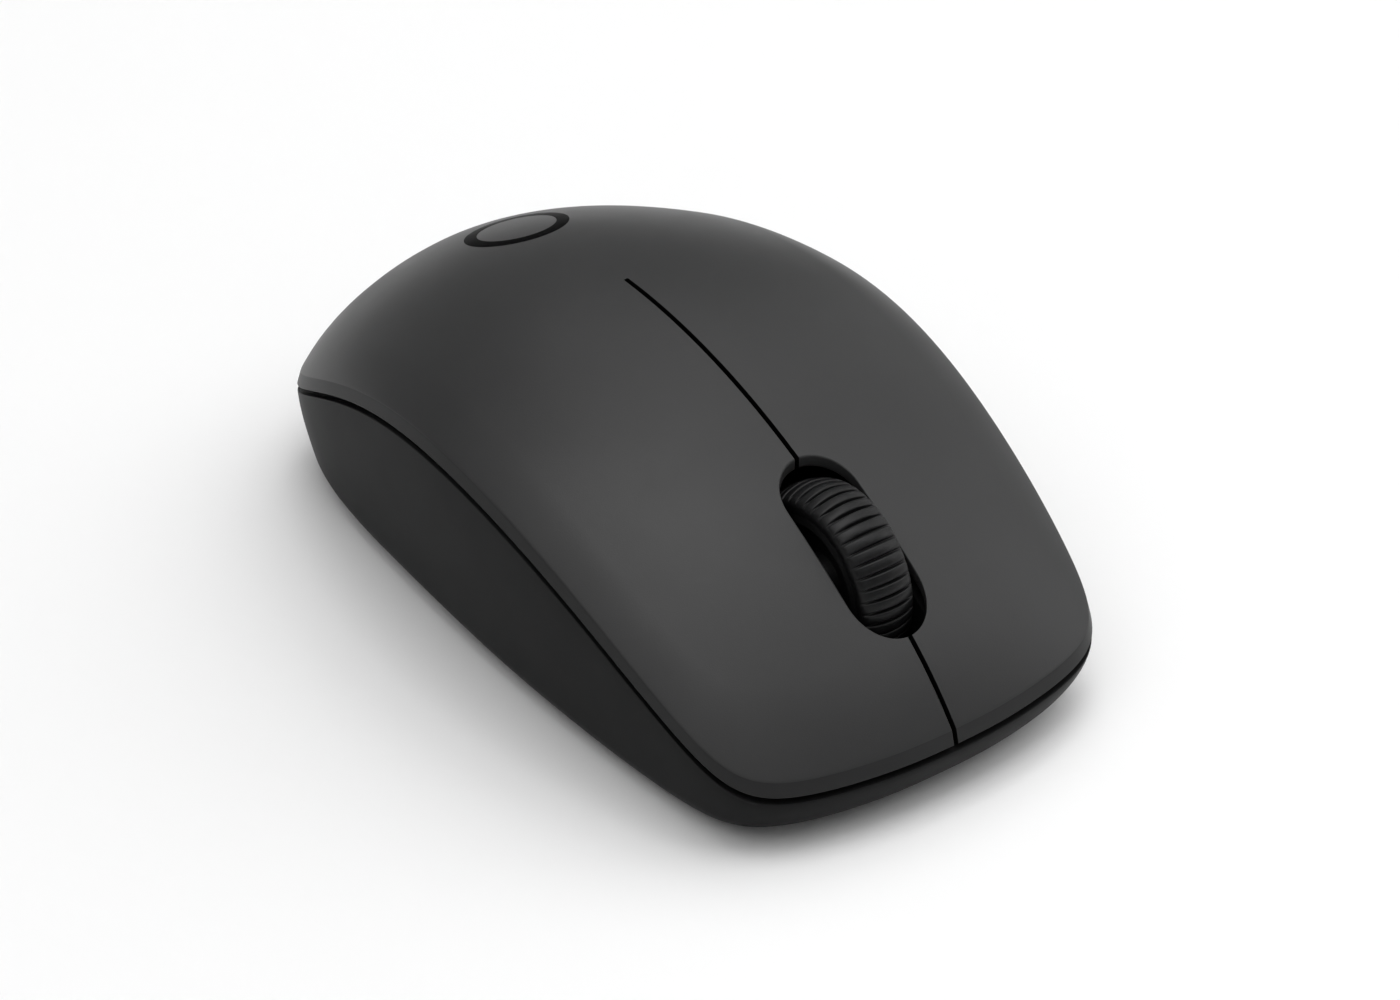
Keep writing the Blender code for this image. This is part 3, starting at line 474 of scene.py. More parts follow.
def half_plan(low_y, high_y, lines, inside):
    """The +X half of a piece in plan, between two Y, cut into triangles along the lines."""
    width = HALF[:, 0].max()
    across_x = np.arange(-0.6, width + 1, BORDER_STEP)
    across = np.array([(x, y) for y in (low_y, high_y) for x in across_x])
    count = len(across) // 2
    borders = [line for line in (across[:count], across[count:]) if abs(line[0][1]) < -FRONT_Y]
    centre_y = np.arange(max(low_y, FRONT_Y) - 1, min(high_y, REAR_Y) + 1, BORDER_STEP)
    borders.append(np.array([(0, y) for y in centre_y]))
    rows = np.arange(FRONT_Y, REAR_Y, GRID_STEP * sqrt(0.75))
    grid = np.array([
        (x + GRID_STEP / 2 * (i % 2), y)
        for i, y in enumerate(rows) for x in np.arange(GRID_STEP / 2, width, GRID_STEP)
    ])
    x, y = grid.T
    _, distance, (reach, _, edge, _) = rim_at(x, y)
    clear = distance < reach - edge - GRID_STEP / 2
    clear &= (y > low_y + GRID_STEP / 2) & (y < high_y - GRID_STEP / 2)
    if lines is not None:
        clear &= (to_slit(x, y) > SLIT_EDGE + 0.5) & (to_slot(x, y) > SLOT_EDGE + 0.5)
    points = list(grid[clear])
    edges = []
    for line in borders + RINGS + (lines or []):
        edges += [(len(points) + i, len(points) + i + 1) for i in range(len(line) - 1)]
        points += list(line)
    corners = [Vector(p) for p in points]
    found, _, faces, *_ = delaunay_2d_cdt(corners, edges, [], 0, 1e-5)
    plan = np.array([(v.x, v.y) for v in found])
    triangles = np.array([f for f in faces if len(f) == 3])
    a, b, c = (plan[triangles[:, k]] for k in range(3))
    middle = (a + b + c) / 3
    area = (b[:, 0] - a[:, 0]) * (c[:, 1] - a[:, 1]) - (b[:, 1] - a[:, 1]) * (c[:, 0] - a[:, 0])
    triangles = np.where((area < 0)[:, None], triangles[:, ::-1], triangles)
    x, y = middle.T
    _, distance, (reach, *_) = rim_at(x, y)
    keep = (x > 0) & (y > low_y) & (y < high_y) & (distance < reach) & (np.abs(area) > 1e-9)
    keep &= inside(x, y)
    triangles = triangles[keep]
    used = np.unique(triangles)
    number = np.zeros(len(plan), int)
    number[used] = np.arange(len(used))
    return plan[used], number[triangles]


def closed_piece(name, plan, triangles):
    """A closed solid between the cover's outer and inner surfaces over a plan."""
    x, y = plan.T
    _, distance, (reach, *_) = rim_at(x, y)
    on_rim = distance > reach - 1e-3
    top = top_height(x, y)
    low = np.where(on_rim, top, under_height(x, y))
    count = len(plan)
    lower = np.where(on_rim, np.arange(count), np.arange(count) + count)
    corners = np.concatenate([np.c_[plan, top], np.c_[plan, low]])
    faces = triangles.tolist() + lower[triangles[:, ::-1]].tolist()
    sides = np.concatenate([triangles[:, [0, 1]], triangles[:, [1, 2]], triangles[:, [2, 0]]])
    present = {(a, b) for a, b in sides.tolist()}
    for a, b in sides.tolist():
        if (b, a) in present or (on_rim[a] and on_rim[b]):
            continue
        wall = [b, a, lower[a], lower[b]]
        faces.append([int(v) for i, v in enumerate(wall) if v not in wall[:i]])
    mesh = from_lists(name, corners, faces)
    shape = bmesh.new()
    shape.from_mesh(mesh)
    loose = [v for v in shape.verts if not v.link_faces]
    bmesh.ops.delete(shape, geom=loose, context="VERTS")
    shape.to_mesh(mesh)
    shape.free()
    return add(name, mesh)


def mirrored(plan, triangles):
    """The plan with its mirror image, sharing the points of the centre line."""
    off_centre = np.abs(plan[:, 0]) > 1e-6
    other = np.where(off_centre, 0, np.arange(len(plan)))
    other[off_centre] = len(plan) + np.arange(off_centre.sum())
    both = np.concatenate([plan, plan[off_centre] * (-1, 1)])
    return both, np.concatenate([triangles, other[triangles[:, ::-1]]])


def set_top_normals(obj):
    """Exact normals on the top surface, and the usual ones elsewhere."""
    mesh = obj.data
    corners = np.array([v.co for v in mesh.vertices]) / MM
    near_top = np.abs(corners[:, 2] - top_height(corners[:, 0], corners[:, 1])) < 1e-3
    exact = top_normals(corners[:, 0], corners[:, 1])
    loops = np.zeros((len(mesh.loops), 3))
    for face in mesh.polygons:
        if face.normal.z > 0.01 and all(near_top[v] for v in face.vertices):
            for i in face.loop_indices:
                loops[i] = exact[mesh.loops[i].vertex_index]
    mesh.normals_split_custom_set(loops.tolist())


RINGS = ring_lines()


def make_cover():
    def off_cuts(x, y):
        return (to_slit(x, y) > 0) & (to_slot(x, y) > 0)

    def anywhere(x, _):
        return np.ones_like(x, bool)

    plan, triangles = half_plan(FRONT_Y - 5, KEY_HINGE_Y, cut_lines(), off_cuts)
    for name, side in (("left_key", 1), ("right_key", -1)):
        turned = triangles if side > 0 else triangles[:, ::-1]
        key = closed_piece(name + "_moulding", plan * (side, 1), turned)
        x, y = side * KEY_SWITCH_X, KEY_PLUNGER_Y
        combined(key, "UNION", [post(x, y, KEY_POST_RADIUS, KEY_PLUNGER_TOP + GAP)])
        set_top_normals(key)
        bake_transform(key)
        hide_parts(name)
        finish_cover(key)
    plan, triangles = mirrored(*half_plan(KEY_HINGE_Y, REAR_Y + 5, None, anywhere))
    palm = closed_piece("palm_moulding", plan, triangles)
    bosses, pilots = [], []
    for side in (-1, 1):
        x, y = side * HOUSING_SCREW_X, HOUSING_SCREW_Y
        low = UNDERSIDE_Z + BASE_WALL + GAP
        bosses.append(post(x, y, BOSS_RADIUS, low))
        pilots.append(disc(x, y, BOSS_PILOT_RADIUS, low - 1, low + 10))
    combined(combined(palm, "UNION", bosses), "DIFFERENCE", pilots)
    set_top_normals(palm)
    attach(palm, "base")
    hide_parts("palm_cover")
    finish_cover(palm)


# ---------------------------------------------------------------- the bottom shell


def base_ring(wall, heights):
    """A ring of the base's outer (wall 0) or inner surface at heights above its floor."""
    taper = along_body(RAY_Y, BASE_TAPER)
    taper = taper * np.maximum(0, (RAY_RIM - heights) / (RAY_RIM - UNDERSIDE_Z)) ** BASE_TAPER_POWER
    rounding = BASE_ROUND - wall
    deep = np.clip(1 - (heights - UNDERSIDE_Z - wall) / rounding, 0, 1)
    distance = RAY_REACH - wall - taper - rounding * (1 - np.sqrt(1 - deep * deep))
    return ray_ring(distance, heights)


def ray_ring(distance, heights):
    flat = np.array([0, HEART_Y]) + RAY_DIRECTION * distance[:, None]
    return np.c_[flat, np.broadcast_to(heights, len(flat))]


def both_sides(row, sign=1):
    return np.concatenate([row, sign * row[-2:0:-1]])


RAY_REACH = both_sides(REACH)
RAY_RIM = both_sides(BASE_RIM)
RAY_Y = both_sides(HALF[:, 1])
RAY_DIRECTION = np.c_[both_sides(np.sin(PHI), -1), both_sides(-np.cos(PHI))]


def base_rings():
    """Rings from the middle of the inner floor, over the rim, to the middle of the underside."""
    foot = UNDERSIDE_Z + BASE_ROUND

    def wall_ring(wall, share):
        return base_ring(wall, foot + (RAY_RIM - foot) * share)

    def round_ring(wall, angle):
        drop = (BASE_ROUND - wall) * (1 - sin(radians(angle)))
        return base_ring(wall, np.full_like(RAY_RIM, UNDERSIDE_Z + wall + drop))

    def floor_ring(wall, share):
        edge = round_ring(wall, 90)
        return np.c_[edge[:, 0] * share, HEART_Y + (edge[:, 1] - HEART_Y) * share, edge[:, 2]]

    rings = [floor_ring(BASE_WALL, 0.4), floor_ring(BASE_WALL, 0.8)]
    rings += [round_ring(BASE_WALL, angle) for angle in (90, 70, 50, 30, 15)]
    rings += [wall_ring(BASE_WALL, 0), base_ring(BASE_WALL, RAY_RIM - LEDGE_DROP)]
    inner = RAY_REACH - TONGUE_INSET - TONGUE_WALL
    rings.append(ray_ring(inner, RAY_RIM - TONGUE_WALL))
    edge, tip = RIM_EDGE, RAY_RIM + TONGUE_RISE
    rings += [ray_ring(inner, tip - edge), ray_ring(inner + edge, tip)]
    outer = RAY_REACH - TONGUE_INSET
    rings += [ray_ring(outer - edge, tip), ray_ring(outer, tip - edge), ray_ring(outer, RAY_RIM)]
    for angle in (0, 22, 45, 68, 90):
        rounded = RAY_REACH - edge * (1 - sin(radians(angle)))
        rings.append(ray_ring(rounded, RAY_RIM - edge * (1 - cos(radians(angle)))))
    rings += [wall_ring(0, share) for share in np.linspace(0.97, 0, 16)]
    rings += [round_ring(0, angle) for angle in range(10, 91, 10)]
    rings += [floor_ring(0, 0.8), floor_ring(0, 0.4)]
    return rings


def loft(name, centre_first, rings, centre_last):
    count = len(rings[0])
    corners = np.concatenate([[centre_first], *rings, [centre_last]])
    last = len(corners) - 1
    faces = []
    for i in range(count):
        j = (i + 1) % count
        faces.append((0, 1 + i, 1 + j))
        faces.append((last, last - count + j, last - count + i))
        for k in range(len(rings) - 1):
            inner, outer = 1 + k * count, 1 + (k + 1) * count
            faces.append((inner + i, outer + i, outer + j, inner + j))
    return add(name, face_outward(from_lists(name, corners, faces)))


def make_base():
    inside, outside = (0, HEART_Y, UNDERSIDE_Z + BASE_WALL), (0, HEART_Y, UNDERSIDE_Z)
    base = loft("bottom_moulding", inside, base_rings(), outside)
    floor_mid = UNDERSIDE_Z + BASE_WALL / 2
    floor_top = UNDERSIDE_Z + BASE_WALL
    pocket_x = RECEIVER_THICKNESS / 2 + GAP
    pocket_y = RECEIVER_WIDTH / 2 + GAP
    added = [
        block(
            (-BAY_HALF_WIDTH - BAY_WALL, BAY_FRONT_Y - BAY_WALL, floor_mid),
            (BAY_HALF_WIDTH + BAY_WALL, BAY_REAR_Y + BAY_WALL, BAY_TOP + BAY_WALL),
        ),
        block(
            (POCKET_X - pocket_x - POCKET_WALL, POCKET_Y - pocket_y - POCKET_WALL, floor_mid),
            (POCKET_X + pocket_x + POCKET_WALL, POCKET_Y + pocket_y + POCKET_WALL, POCKET_ROOF),
        ),
    ]
    taken = []
    for side in (-1, 1):
        x, y = side * BOARD_SCREW_X, BOARD_SCREW_Y
        added.append(disc(x, y, BOARD_POST_RADIUS, floor_mid, BOARD_LOW - GAP))
        taken.append(disc(x, y, BOARD_PILOT_RADIUS, floor_top, BOARD_LOW + 1))
        x, y = side * HOUSING_SCREW_X, HOUSING_SCREW_Y
        taken.append(disc(x, y, SCREW_HOLE_RADIUS, CUT_LOW, SCREW_HOLE_TOP))
        taken.append(disc(x, y, SCREW_SINK_RADIUS, CUT_LOW, floor_mid))
    opening = rounded_rectangle(
        -DOOR_HALF_WIDTH - DOOR_GAP, DOOR_HALF_WIDTH + DOOR_GAP,
        DOOR_FRONT_Y - DOOR_GAP, DOOR_REAR_Y + DOOR_GAP, DOOR_CORNER,
    )
    reach = POWER_TRAVEL / 2 + POWER_WINDOW_REACH
    window = rounded_rectangle(
        POWER_X - POWER_WINDOW_HALF_WIDTH, POWER_X + POWER_WINDOW_HALF_WIDTH,
        POWER_Y - reach, POWER_Y + reach, POWER_WINDOW_CORNER,
    )
    pocket = rounded_rectangle(
        POCKET_X - pocket_x, POCKET_X + pocket_x,
        POCKET_Y - pocket_y, POCKET_Y + pocket_y, POCKET_CORNER,
    )
    eye = stadium(0, SENSOR_Y - EYE_TO_FRONT, SENSOR_Y + EYE_TO_REAR, EYE_HALF_WIDTH)
    taken += [
        block(
            (-BAY_HALF_WIDTH, BAY_FRONT_Y, floor_mid + BAY_FLOOR_RISE),
            (BAY_HALF_WIDTH, BAY_REAR_Y, BAY_TOP),
        ),
        prism(opening, CUT_LOW, floor_top + 0.05),
        prism(pocket, CUT_LOW, POCKET_TOP),
        prism(eye, CUT_LOW, CUT_HIGH),
        prism(window, CUT_LOW, CUT_HIGH),
    ]
    combined(combined(base, "UNION", added), "DIFFERENCE", taken)
    weighted = base.modifiers.new("normals", "WEIGHTED_NORMAL")
    weighted.keep_sharp = True
    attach(base, "base")
    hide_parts("bottom_shell")
    # The base gets the darker copy of the shell plastic, as painted shade.
    finish(base, BASE_SHADED_SHELL)


# ---------------------------------------------------------------- tyre, spring and print

# One rib of the tread: (share of its pitch, share of the groove's depth).
RIB = (
    (0.0, 1.0), (0.04, 0.97), (0.07, 0.86), (0.09, 0.66), (0.105, 0.4), (0.12, 0.19),
    (0.15, 0.08), (0.25, 0.01), (0.5, -0.02), (0.75, 0.01), (0.85, 0.08), (0.88, 0.19),
    (0.895, 0.4), (0.91, 0.66), (0.93, 0.86), (0.96, 0.97),
)
GROOVE_DEPTH = 0.62
SHOULDER_RADIUS = 0.55


def tread_profile():
    """(X, radius, share of groove) across the tyre, from one bore edge to the other."""
    half, edge = WHEEL_HALF_WIDTH, SHOULDER_RADIUS
    rows = []
    for angle in (90, 67.5, 45, 22.5, 0):
        a = radians(angle)
        x = half - edge + edge * sin(a)
        base = WHEEL_RADIUS - TREAD_CROWN * ((half - edge) / half) ** 2
        rows.append((x, base - 0.25 * sin(a) - edge * (1 - cos(a)), cos(a) ** 2 * 0.35))
    for x in np.linspace(half - edge, 0, 8)[1:]:
        share = (x / half) ** 2
        rows.append((float(x), WHEEL_RADIUS - TREAD_CROWN * share, 1 - 0.9 * share))
    rows += [(-x, radius, share) for x, radius, share in rows[-2::-1]]
    side = [(half, TYRE_BORE + 0.7, 0.0), (half - 0.15, TYRE_BORE, 0.0)]
    return side[::-1] + rows + [(-x, radius, share) for x, radius, share in side]


def make_tyre():
    profile = tread_profile()
    angles = [(rib + share) / TREAD_RIBS * 2 * pi for rib in range(TREAD_RIBS) for share, _ in RIB]
    depths = [depth for _ in range(TREAD_RIBS) for _, depth in RIB]
    count, rows = len(angles), len(profile)
    corners = []
    for angle, depth in zip(angles, depths):
        for x, radius, share in profile:
            r = radius - GROOVE_DEPTH * depth * share
            corners.append((x, WHEEL_Y + r * sin(angle), WHEEL_Z + r * cos(angle)))
    faces = []
    for i in range(count):
        j = (i + 1) % count
        for k in range(rows):
            m = (k + 1) % rows
            faces.append((i * rows + k, i * rows + m, j * rows + m, j * rows + k))
    tyre = add("ribbed_tyre", face_outward(from_lists("ribbed_tyre", corners, faces)), 50)
    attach(tyre, "wheel")
    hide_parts("wheel_tyre")
    finish(tyre, RUBBER)


def make_spring():
    """The cradle's return spring, with flattened last turns."""
    per_turn, sides, wire = 36, 12, SPRING_WIRE
    low, high = SPRING_LOW + wire, SPRING_HIGH - wire
    steps = SPRING_TURNS * per_turn
    corners, faces = [], []
    for i in range(steps + 1):
        share = i / steps
        eased = share - sin(2 * pi * share) / (2 * pi) * 0.8
        angle = 2 * pi * i / per_turn
        along = Vector((-sin(angle), cos(angle), 0))
        out = Vector((cos(angle), sin(angle), 0))
        middle = Vector((SPRING_X, SPRING_Y, low + (high - low) * eased)) + out * SPRING_RADIUS
        for k in range(sides):
            turn = 2 * pi * k / sides
            corners.append(middle + (out * cos(turn) + out.cross(along) * sin(turn)) * wire)
        if i:
            a, b = (i - 1) * sides, i * sides
            for k in range(sides):
                m = (k + 1) % sides
                faces.append((a + k, a + m, b + m, b + k))
    faces += [tuple(range(sides))[::-1], tuple(range(steps * sides, (steps + 1) * sides))]
    mesh = from_lists("cradle_coil", [tuple(c) for c in corners], faces)
    coil = add("cradle_coil", face_outward(mesh), 60)
    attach(coil, "base")
    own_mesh(coil)
    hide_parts("cradle_spring")
    finish(coil, STEEL)


def make_screws():
    """The housing's and the board's screws, with a crossed recess in each head."""
    head, seat = UNDERSIDE_Z + 0.15, BOARD_TOP + 0.1
    under = (
        (0, 9), (0.95, 8.6), (0.95, head + 0.7), (2.3, head + 0.6), (2.3, head + 0.1), (2.1, head),
        (0, head),
    )
    over = (
        (0, 3), (0.85, 3.4), (0.85, seat), (2.1, seat), (2.1, seat + 0.5), (1.4, seat + 1.1),
        (0, seat + 1.2),
    )
    for word, side in (("left", 1), ("right", -1)):
        for kind, x, y, profile in (
            ("housing_screw", side * HOUSING_SCREW_X, HOUSING_SCREW_Y, under),
            ("board_screw", side * BOARD_SCREW_X, BOARD_SCREW_Y, over),
        ):
            rings = []
            for radius, z in profile[1:-1]:
                rings.append([(*p, z) for p in arc((x, y), radius, 0, 360, 48)[:-1]])
            face = profile[-1][1]
            screw = loft(f"{word}_{kind}_crossed", (x, y, profile[0][1]), rings, (x, y, face))
            low, high = face - RECESS_DEPTH, face + RECESS_DEPTH
            cross = [
                block((x - a, y - b, low), (x + a, y + b, high))
                for a, b in ((RECESS_REACH, RECESS_HALF_WIDTH), (RECESS_HALF_WIDTH, RECESS_REACH))
            ]
            core = disc(x, y, RECESS_CORE_RADIUS, low, high, 16)
            combined(screw, "DIFFERENCE", [*cross, core])
            screw.data.set_sharp_from_angle(angle=radians(12))
            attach(screw, "base")
            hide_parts(f"{word}_{kind}")
            finish(screw, STEEL)


RING_Y = 32.5
RING_RADIUS = 5.4
RING_WIDTH = 1.5
RING_RISE = 0.02


def make_print():
    """A plain ring printed on the palm cover."""
    steps, rows = 96, 6
    corners = []
    for lift in (RING_RISE, -0.05):
        for i in range(steps):
            angle = 2 * pi * i / steps
            for k in range(rows + 1):
                r = RING_RADIUS + RING_WIDTH * (k / rows - 0.5)
                x, y = r * cos(angle), RING_Y + r * sin(angle)
                edge = 0 if lift < 0 or 0 < k < rows else RING_RISE * 0.6
                corners.append((x, y, float(top_height(np.array(x), np.array(y))) + lift - edge))
    width = rows + 1
    other = steps * width
    faces = []
    for i in range(steps):
        j = (i + 1) % steps
        for k in range(rows):
            a, b, c, d = i * width + k, i * width + k + 1, j * width + k + 1, j * width + k
            faces += [(a, b, c, d), (other + d, other + c, other + b, other + a)]
        for k, flip in ((0, True), (rows, False)):
            a, b = i * width + k, j * width + k
            wall = (a, b, other + b, other + a)
            faces.append(wall if flip else wall[::-1])
    ring = add("printed_ring", face_outward(from_lists("printed_ring", corners, faces)), 60)
    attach(ring, "base")
    finish(ring, PRINT)


# ---------------------------------------------------------------- materials


class Look:
    """A material being wired up: a Principled shader and the nodes that feed it."""

    def __init__(self, name, **values):
        self.material = bpy.data.materials.new(name)
        self.material.use_nodes = True
        self.tree = self.material.node_tree
        self.shader = self.tree.nodes["Principled BSDF"]
        self.place = self.add("ShaderNodeTexCoord").outputs["Object"]
        for key, value in values.items():
            self.shader.inputs[key.replace("_", " ")].default_value = value

    def add(self, kind, inputs=(), **settings):
        node = self.tree.nodes.new(kind)
        for key, value in settings.items():
            setattr(node, key, value)
        for key, value in dict(inputs).items():
            if isinstance(value, bpy.types.NodeSocket):
                self.tree.links.new(value, node.inputs[key])
            else:
                node.inputs[key].default_value = value
        return node

    def noise(self, scale, detail=3.0, roughness=0.5, place=None):
        """Noise with features of about 1 / scale millimetres."""
        inputs = {
            "Vector": place or self.place, "Scale": scale / MM,
            "Detail": detail, "Roughness": roughness,
        }
        return self.add("ShaderNodeTexNoise", inputs).outputs["Fac"]

    def cells(self, scale, feature="F1"):
        inputs = {"Vector": self.place, "Scale": scale / MM}
        return self.add("ShaderNodeTexVoronoi", inputs, feature=feature).outputs["Distance"]

    def ramp(self, value, stops):
        """The value sent through colour stops of (place, colour or grey)."""
        node = self.add("ShaderNodeValToRGB", {"Fac": value})
        elements = node.color_ramp.elements
        while len(elements) < len(stops):
            elements.new(0.5)
        for element, (place, colour) in zip(elements, stops):
            element.position = place
            element.color = (*(colour if isinstance(colour, tuple) else [colour] * 3), 1)
        return node.outputs["Color"]

    def span(self, value, low, high):
        inputs = {"Value": value, "To Min": low, "To Max": high}
        return self.add("ShaderNodeMapRange", inputs).outputs["Result"]

    def beyond(self, value, limit):
        """1 where a coordinate is past a limit in millimetres, and 0 elsewhere."""
        inputs = {0: value, 1: limit * MM}
        return self.add("ShaderNodeMath", inputs, operation="GREATER_THAN").outputs[0]

    def sum(self, a, b, weight):
        inputs = {0: b, 1: weight, 2: a}
        return self.add("ShaderNodeMath", inputs, operation="MULTIPLY_ADD").outputs[0]

    def mix(self, factor, a, b):
        node = self.add("ShaderNodeMix", {"Factor": factor}, data_type="RGBA")
        for key, value in (("A", a), ("B", b)):
            socket = next(s for s in node.inputs if s.name == key and s.type == "RGBA")
            if isinstance(value, bpy.types.NodeSocket):
                self.tree.links.new(value, socket)
            else:
                socket.default_value = (*value, 1)
        return next(s for s in node.outputs if s.type == "RGBA")

    def feed(self, **sockets):
        for key, socket in sockets.items():
            self.tree.links.new(socket, self.shader.inputs[key.replace("_", " ")])
        return self

    def bump(self, height, depth, strength=1.0):
        """Relief of the height times depth millimetres."""
        inputs = {"Height": height, "Distance": depth * MM, "Strength": strength}
        return self.feed(Normal=self.add("ShaderNodeBump", inputs).outputs["Normal"])


def shades(look, colour, spread, scale, low=0.35, high=0.65):
    """The colour, varied by a share either way."""
    darker = tuple(c * (1 - spread) for c in colour)
    lighter = tuple(c * (1 + spread) for c in colour)
    return look.ramp(look.noise(scale), ((low, darker), (high, lighter)))


def moulded(name, colour, roughness, grain, depth, **values):
    """Moulded plastic: a spark-eroded grain, and faint clouds in its colour and gloss."""
    look = Look(name, **values)
    pores = look.cells(grain)
    fine = look.noise(grain * 1.7, 2.0)
    cloud = look.sum(look.noise(0.12), fine, 0.35)
    look.feed(
        Base_Color=shades(look, colour, 0.05, 0.05),
        Roughness=look.span(cloud, roughness - 0.05, roughness + 0.05),
    )
    look.bump(look.sum(pores, fine, 0.7), depth)
    return look


COVER_COLOUR = (0.0235, 0.0235, 0.0238)
# The bottom shell's colour is darker than the cover's: painted shade for the darker sides.
BASE_SHADED_COLOUR = (0.013, 0.013, 0.0132)
# Near black for the slit's walls: painted shade for the dark inside of the slit.
SLIT_SHADE_COLOUR = (0.002, 0.002, 0.002)
SHELL_GRAIN = (0.38, 6.0, 0.004)
SHELL = moulded("shell_plastic", COVER_COLOUR, *SHELL_GRAIN, Specular_IOR_Level=0.27).material
# A copy of the shell with less reflection, for the band above the rim: painted shade that makes the
# band darker than the top.
SHELL_BAND_SHADED = moulded("shell_band_shaded", COVER_COLOUR, *SHELL_GRAIN, Specular_IOR_Level=0.1).material
# The slit's walls: the cover's plastic painted near black with almost no reflection, as painted
# shade.
SLIT_PAINTED_SHADE = moulded("slit_painted_shade", SLIT_SHADE_COLOUR, *SHELL_GRAIN, Specular_IOR_Level=0.02).material
# A darker, less reflective copy of the shell plastic for the bottom shell, as painted shade on the
# sides.
BASE_SHADED_SHELL = moulded("shell_base_shaded", BASE_SHADED_COLOUR, *SHELL_GRAIN, Specular_IOR_Level=0.03).material
INNER_COLOUR = (0.009, 0.009, 0.0095)
INNER = moulded("inner_plastic", INNER_COLOUR, 0.45, 4.0, 0.003, Specular_IOR_Level=0.3).material
SWITCH = moulded("switch_plastic", (0.028, 0.028, 0.032), 0.38, 5.0, 0.002).material
PLUNGER = moulded("switch_plunger", (0.72, 0.7, 0.64), 0.4, 4.0, 0.003).material
GLIDE = moulded("glide", (0.045, 0.046, 0.048), 0.33, 3.0, 0.004).material
CHIP = moulded("chip", (0.016, 0.016, 0.017), 0.42, 9.0, 0.004).material


def rubber():
    look = Look("wheel_rubber", Specular_IOR_Level=0.2)
    dust = look.noise(0.9, 5.0, 0.6)
    fine = look.noise(9.0, 2.0)
    dark, dusty = (0.0045, 0.0045, 0.0047), (0.009, 0.009, 0.0094)
    look.feed(
        Base_Color=look.ramp(dust, ((0.35, dark), (0.72, dusty))),
        Roughness=look.span(look.sum(dust, fine, 0.3), 0.26, 0.42),
    )
    return look.bump(look.sum(look.noise(2.2, 3.0), fine, 0.4), 0.012).material


def steel():
    look = Look("steel", Metallic=1.0)
    stretch = look.add("ShaderNodeMapping", {"Vector": look.place, "Scale": (1, 1, 14)}).outputs[0]
    lines = look.noise(1.4, 4.0, 0.6, stretch)
    dull, bright = (0.5, 0.49, 0.47), (0.66, 0.65, 0.63)
    look.feed(
        Base_Color=look.ramp(look.noise(0.25), ((0.3, dull), (0.7, bright))),
        Roughness=look.span(lines, 0.18, 0.42),
    )
    return look.bump(lines, 0.004).material


def board():
    """Solder mask over copper tracks, with the weave of the laminate under it."""
    look = Look("board", Roughness=0.35, Coat_Weight=0.3, Coat_Roughness=0.15)
    cells = look.add("ShaderNodeTexBrick", {
        "Vector": look.place, "Scale": 0.42 / MM, "Mortar Size": 0.045, "Mortar Smooth": 0.2,
        "Brick Width": 2.6, "Row Height": 0.9, "Color1": (0, 0, 0, 1), "Color2": (0, 0, 0, 1),
        "Mortar": (1, 1, 1, 1),
    }, offset=0.37, offset_frequency=3, squash=0.6, squash_frequency=4)
    tracks = cells.outputs["Color"]
    mask = look.mix(tracks, (0.010, 0.062, 0.022), (0.022, 0.15, 0.05))
    threads = {"Vector": look.place, "Scale": 2.2 / MM, "Distortion": 0.3}
    weave = look.add("ShaderNodeTexWave", threads).outputs["Fac"]
    cloud = look.span(look.noise(0.3), 0.0, 0.35)
    look.feed(Base_Color=look.mix(cloud, mask, (0.012, 0.05, 0.02)))
    return look.bump(look.sum(weave, tracks, 3.0), 0.006).material


def cell_wrap():
    """A plain sleeve, dark and then copper-coloured, with bare steel at the positive end."""
    look = Look("battery_wrap", Coat_Weight=0.35, Coat_Roughness=0.12)
    _, along, _ = look.add("ShaderNodeSeparateXYZ", {"Vector": look.place}).outputs
    scratches = look.noise(0.8, 4.0, 0.6)
    metal = look.beyond(along, CELL_METAL_Y)
    copper = look.beyond(along, CELL_COPPER_Y)
    foil = look.add("ShaderNodeMath", {0: copper, 1: metal}, operation="MAXIMUM").outputs[0]
    sleeve = look.mix(copper, (0.012, 0.013, 0.016), (0.36, 0.17, 0.07))
    look.feed(
        Base_Color=look.mix(metal, sleeve, (0.6, 0.59, 0.57)),
        Metallic=look.span(foil, 0, 0.9),
        Roughness=look.span(scratches, 0.22, 0.4),
    )
    return look.bump(scratches, 0.006).material


def capacitor_can():
    look = Look("capacitor_can", Coat_Weight=0.3, Coat_Roughness=0.2)
    _, _, height = look.add("ShaderNodeSeparateXYZ", {"Vector": look.place}).outputs
    top = look.beyond(height, CAN_TOP_Z)
    cloud = look.noise(0.6, 4.0)
    look.feed(
        Base_Color=look.mix(top, shades(look, (0.014, 0.02, 0.05), 0.15, 0.4), (0.6, 0.6, 0.6)),
        Metallic=look.span(top, 0, 1),
        Roughness=look.span(cloud, 0.25, 0.4),
    )
    return look.bump(cloud, 0.005).material


def clear(name, colour, roughness):
    look = Look(name, Transmission_Weight=1.0, IOR=1.58)
    cloud = look.noise(0.4, 3.0)
    look.feed(
        Base_Color=shades(look, colour, 0.03, 0.2),
        Roughness=look.span(cloud, roughness * 0.5, roughness * 1.5),
    )
    return look.bump(look.noise(2.0), 0.0015).material


def ring_print():
    look = Look("ring_print", Specular_IOR_Level=0.002)
    look.feed(
        Base_Color=shades(look, (0.003, 0.003, 0.0031), 0.2, 0.4),
        Roughness=look.span(look.noise(1.5, 3.0), 0.2, 0.3),
    )
    return look.bump(look.noise(5.0, 2.0), 0.0015).material


RUBBER = rubber()
STEEL = steel()
BOARD = board()
CELL = cell_wrap()
CAN = capacitor_can()
LENS = clear("clear_lens", (0.9, 0.92, 0.93), 0.06)
LED = clear("led", (0.75, 0.04, 0.03), 0.08)
PRINT = ring_print()


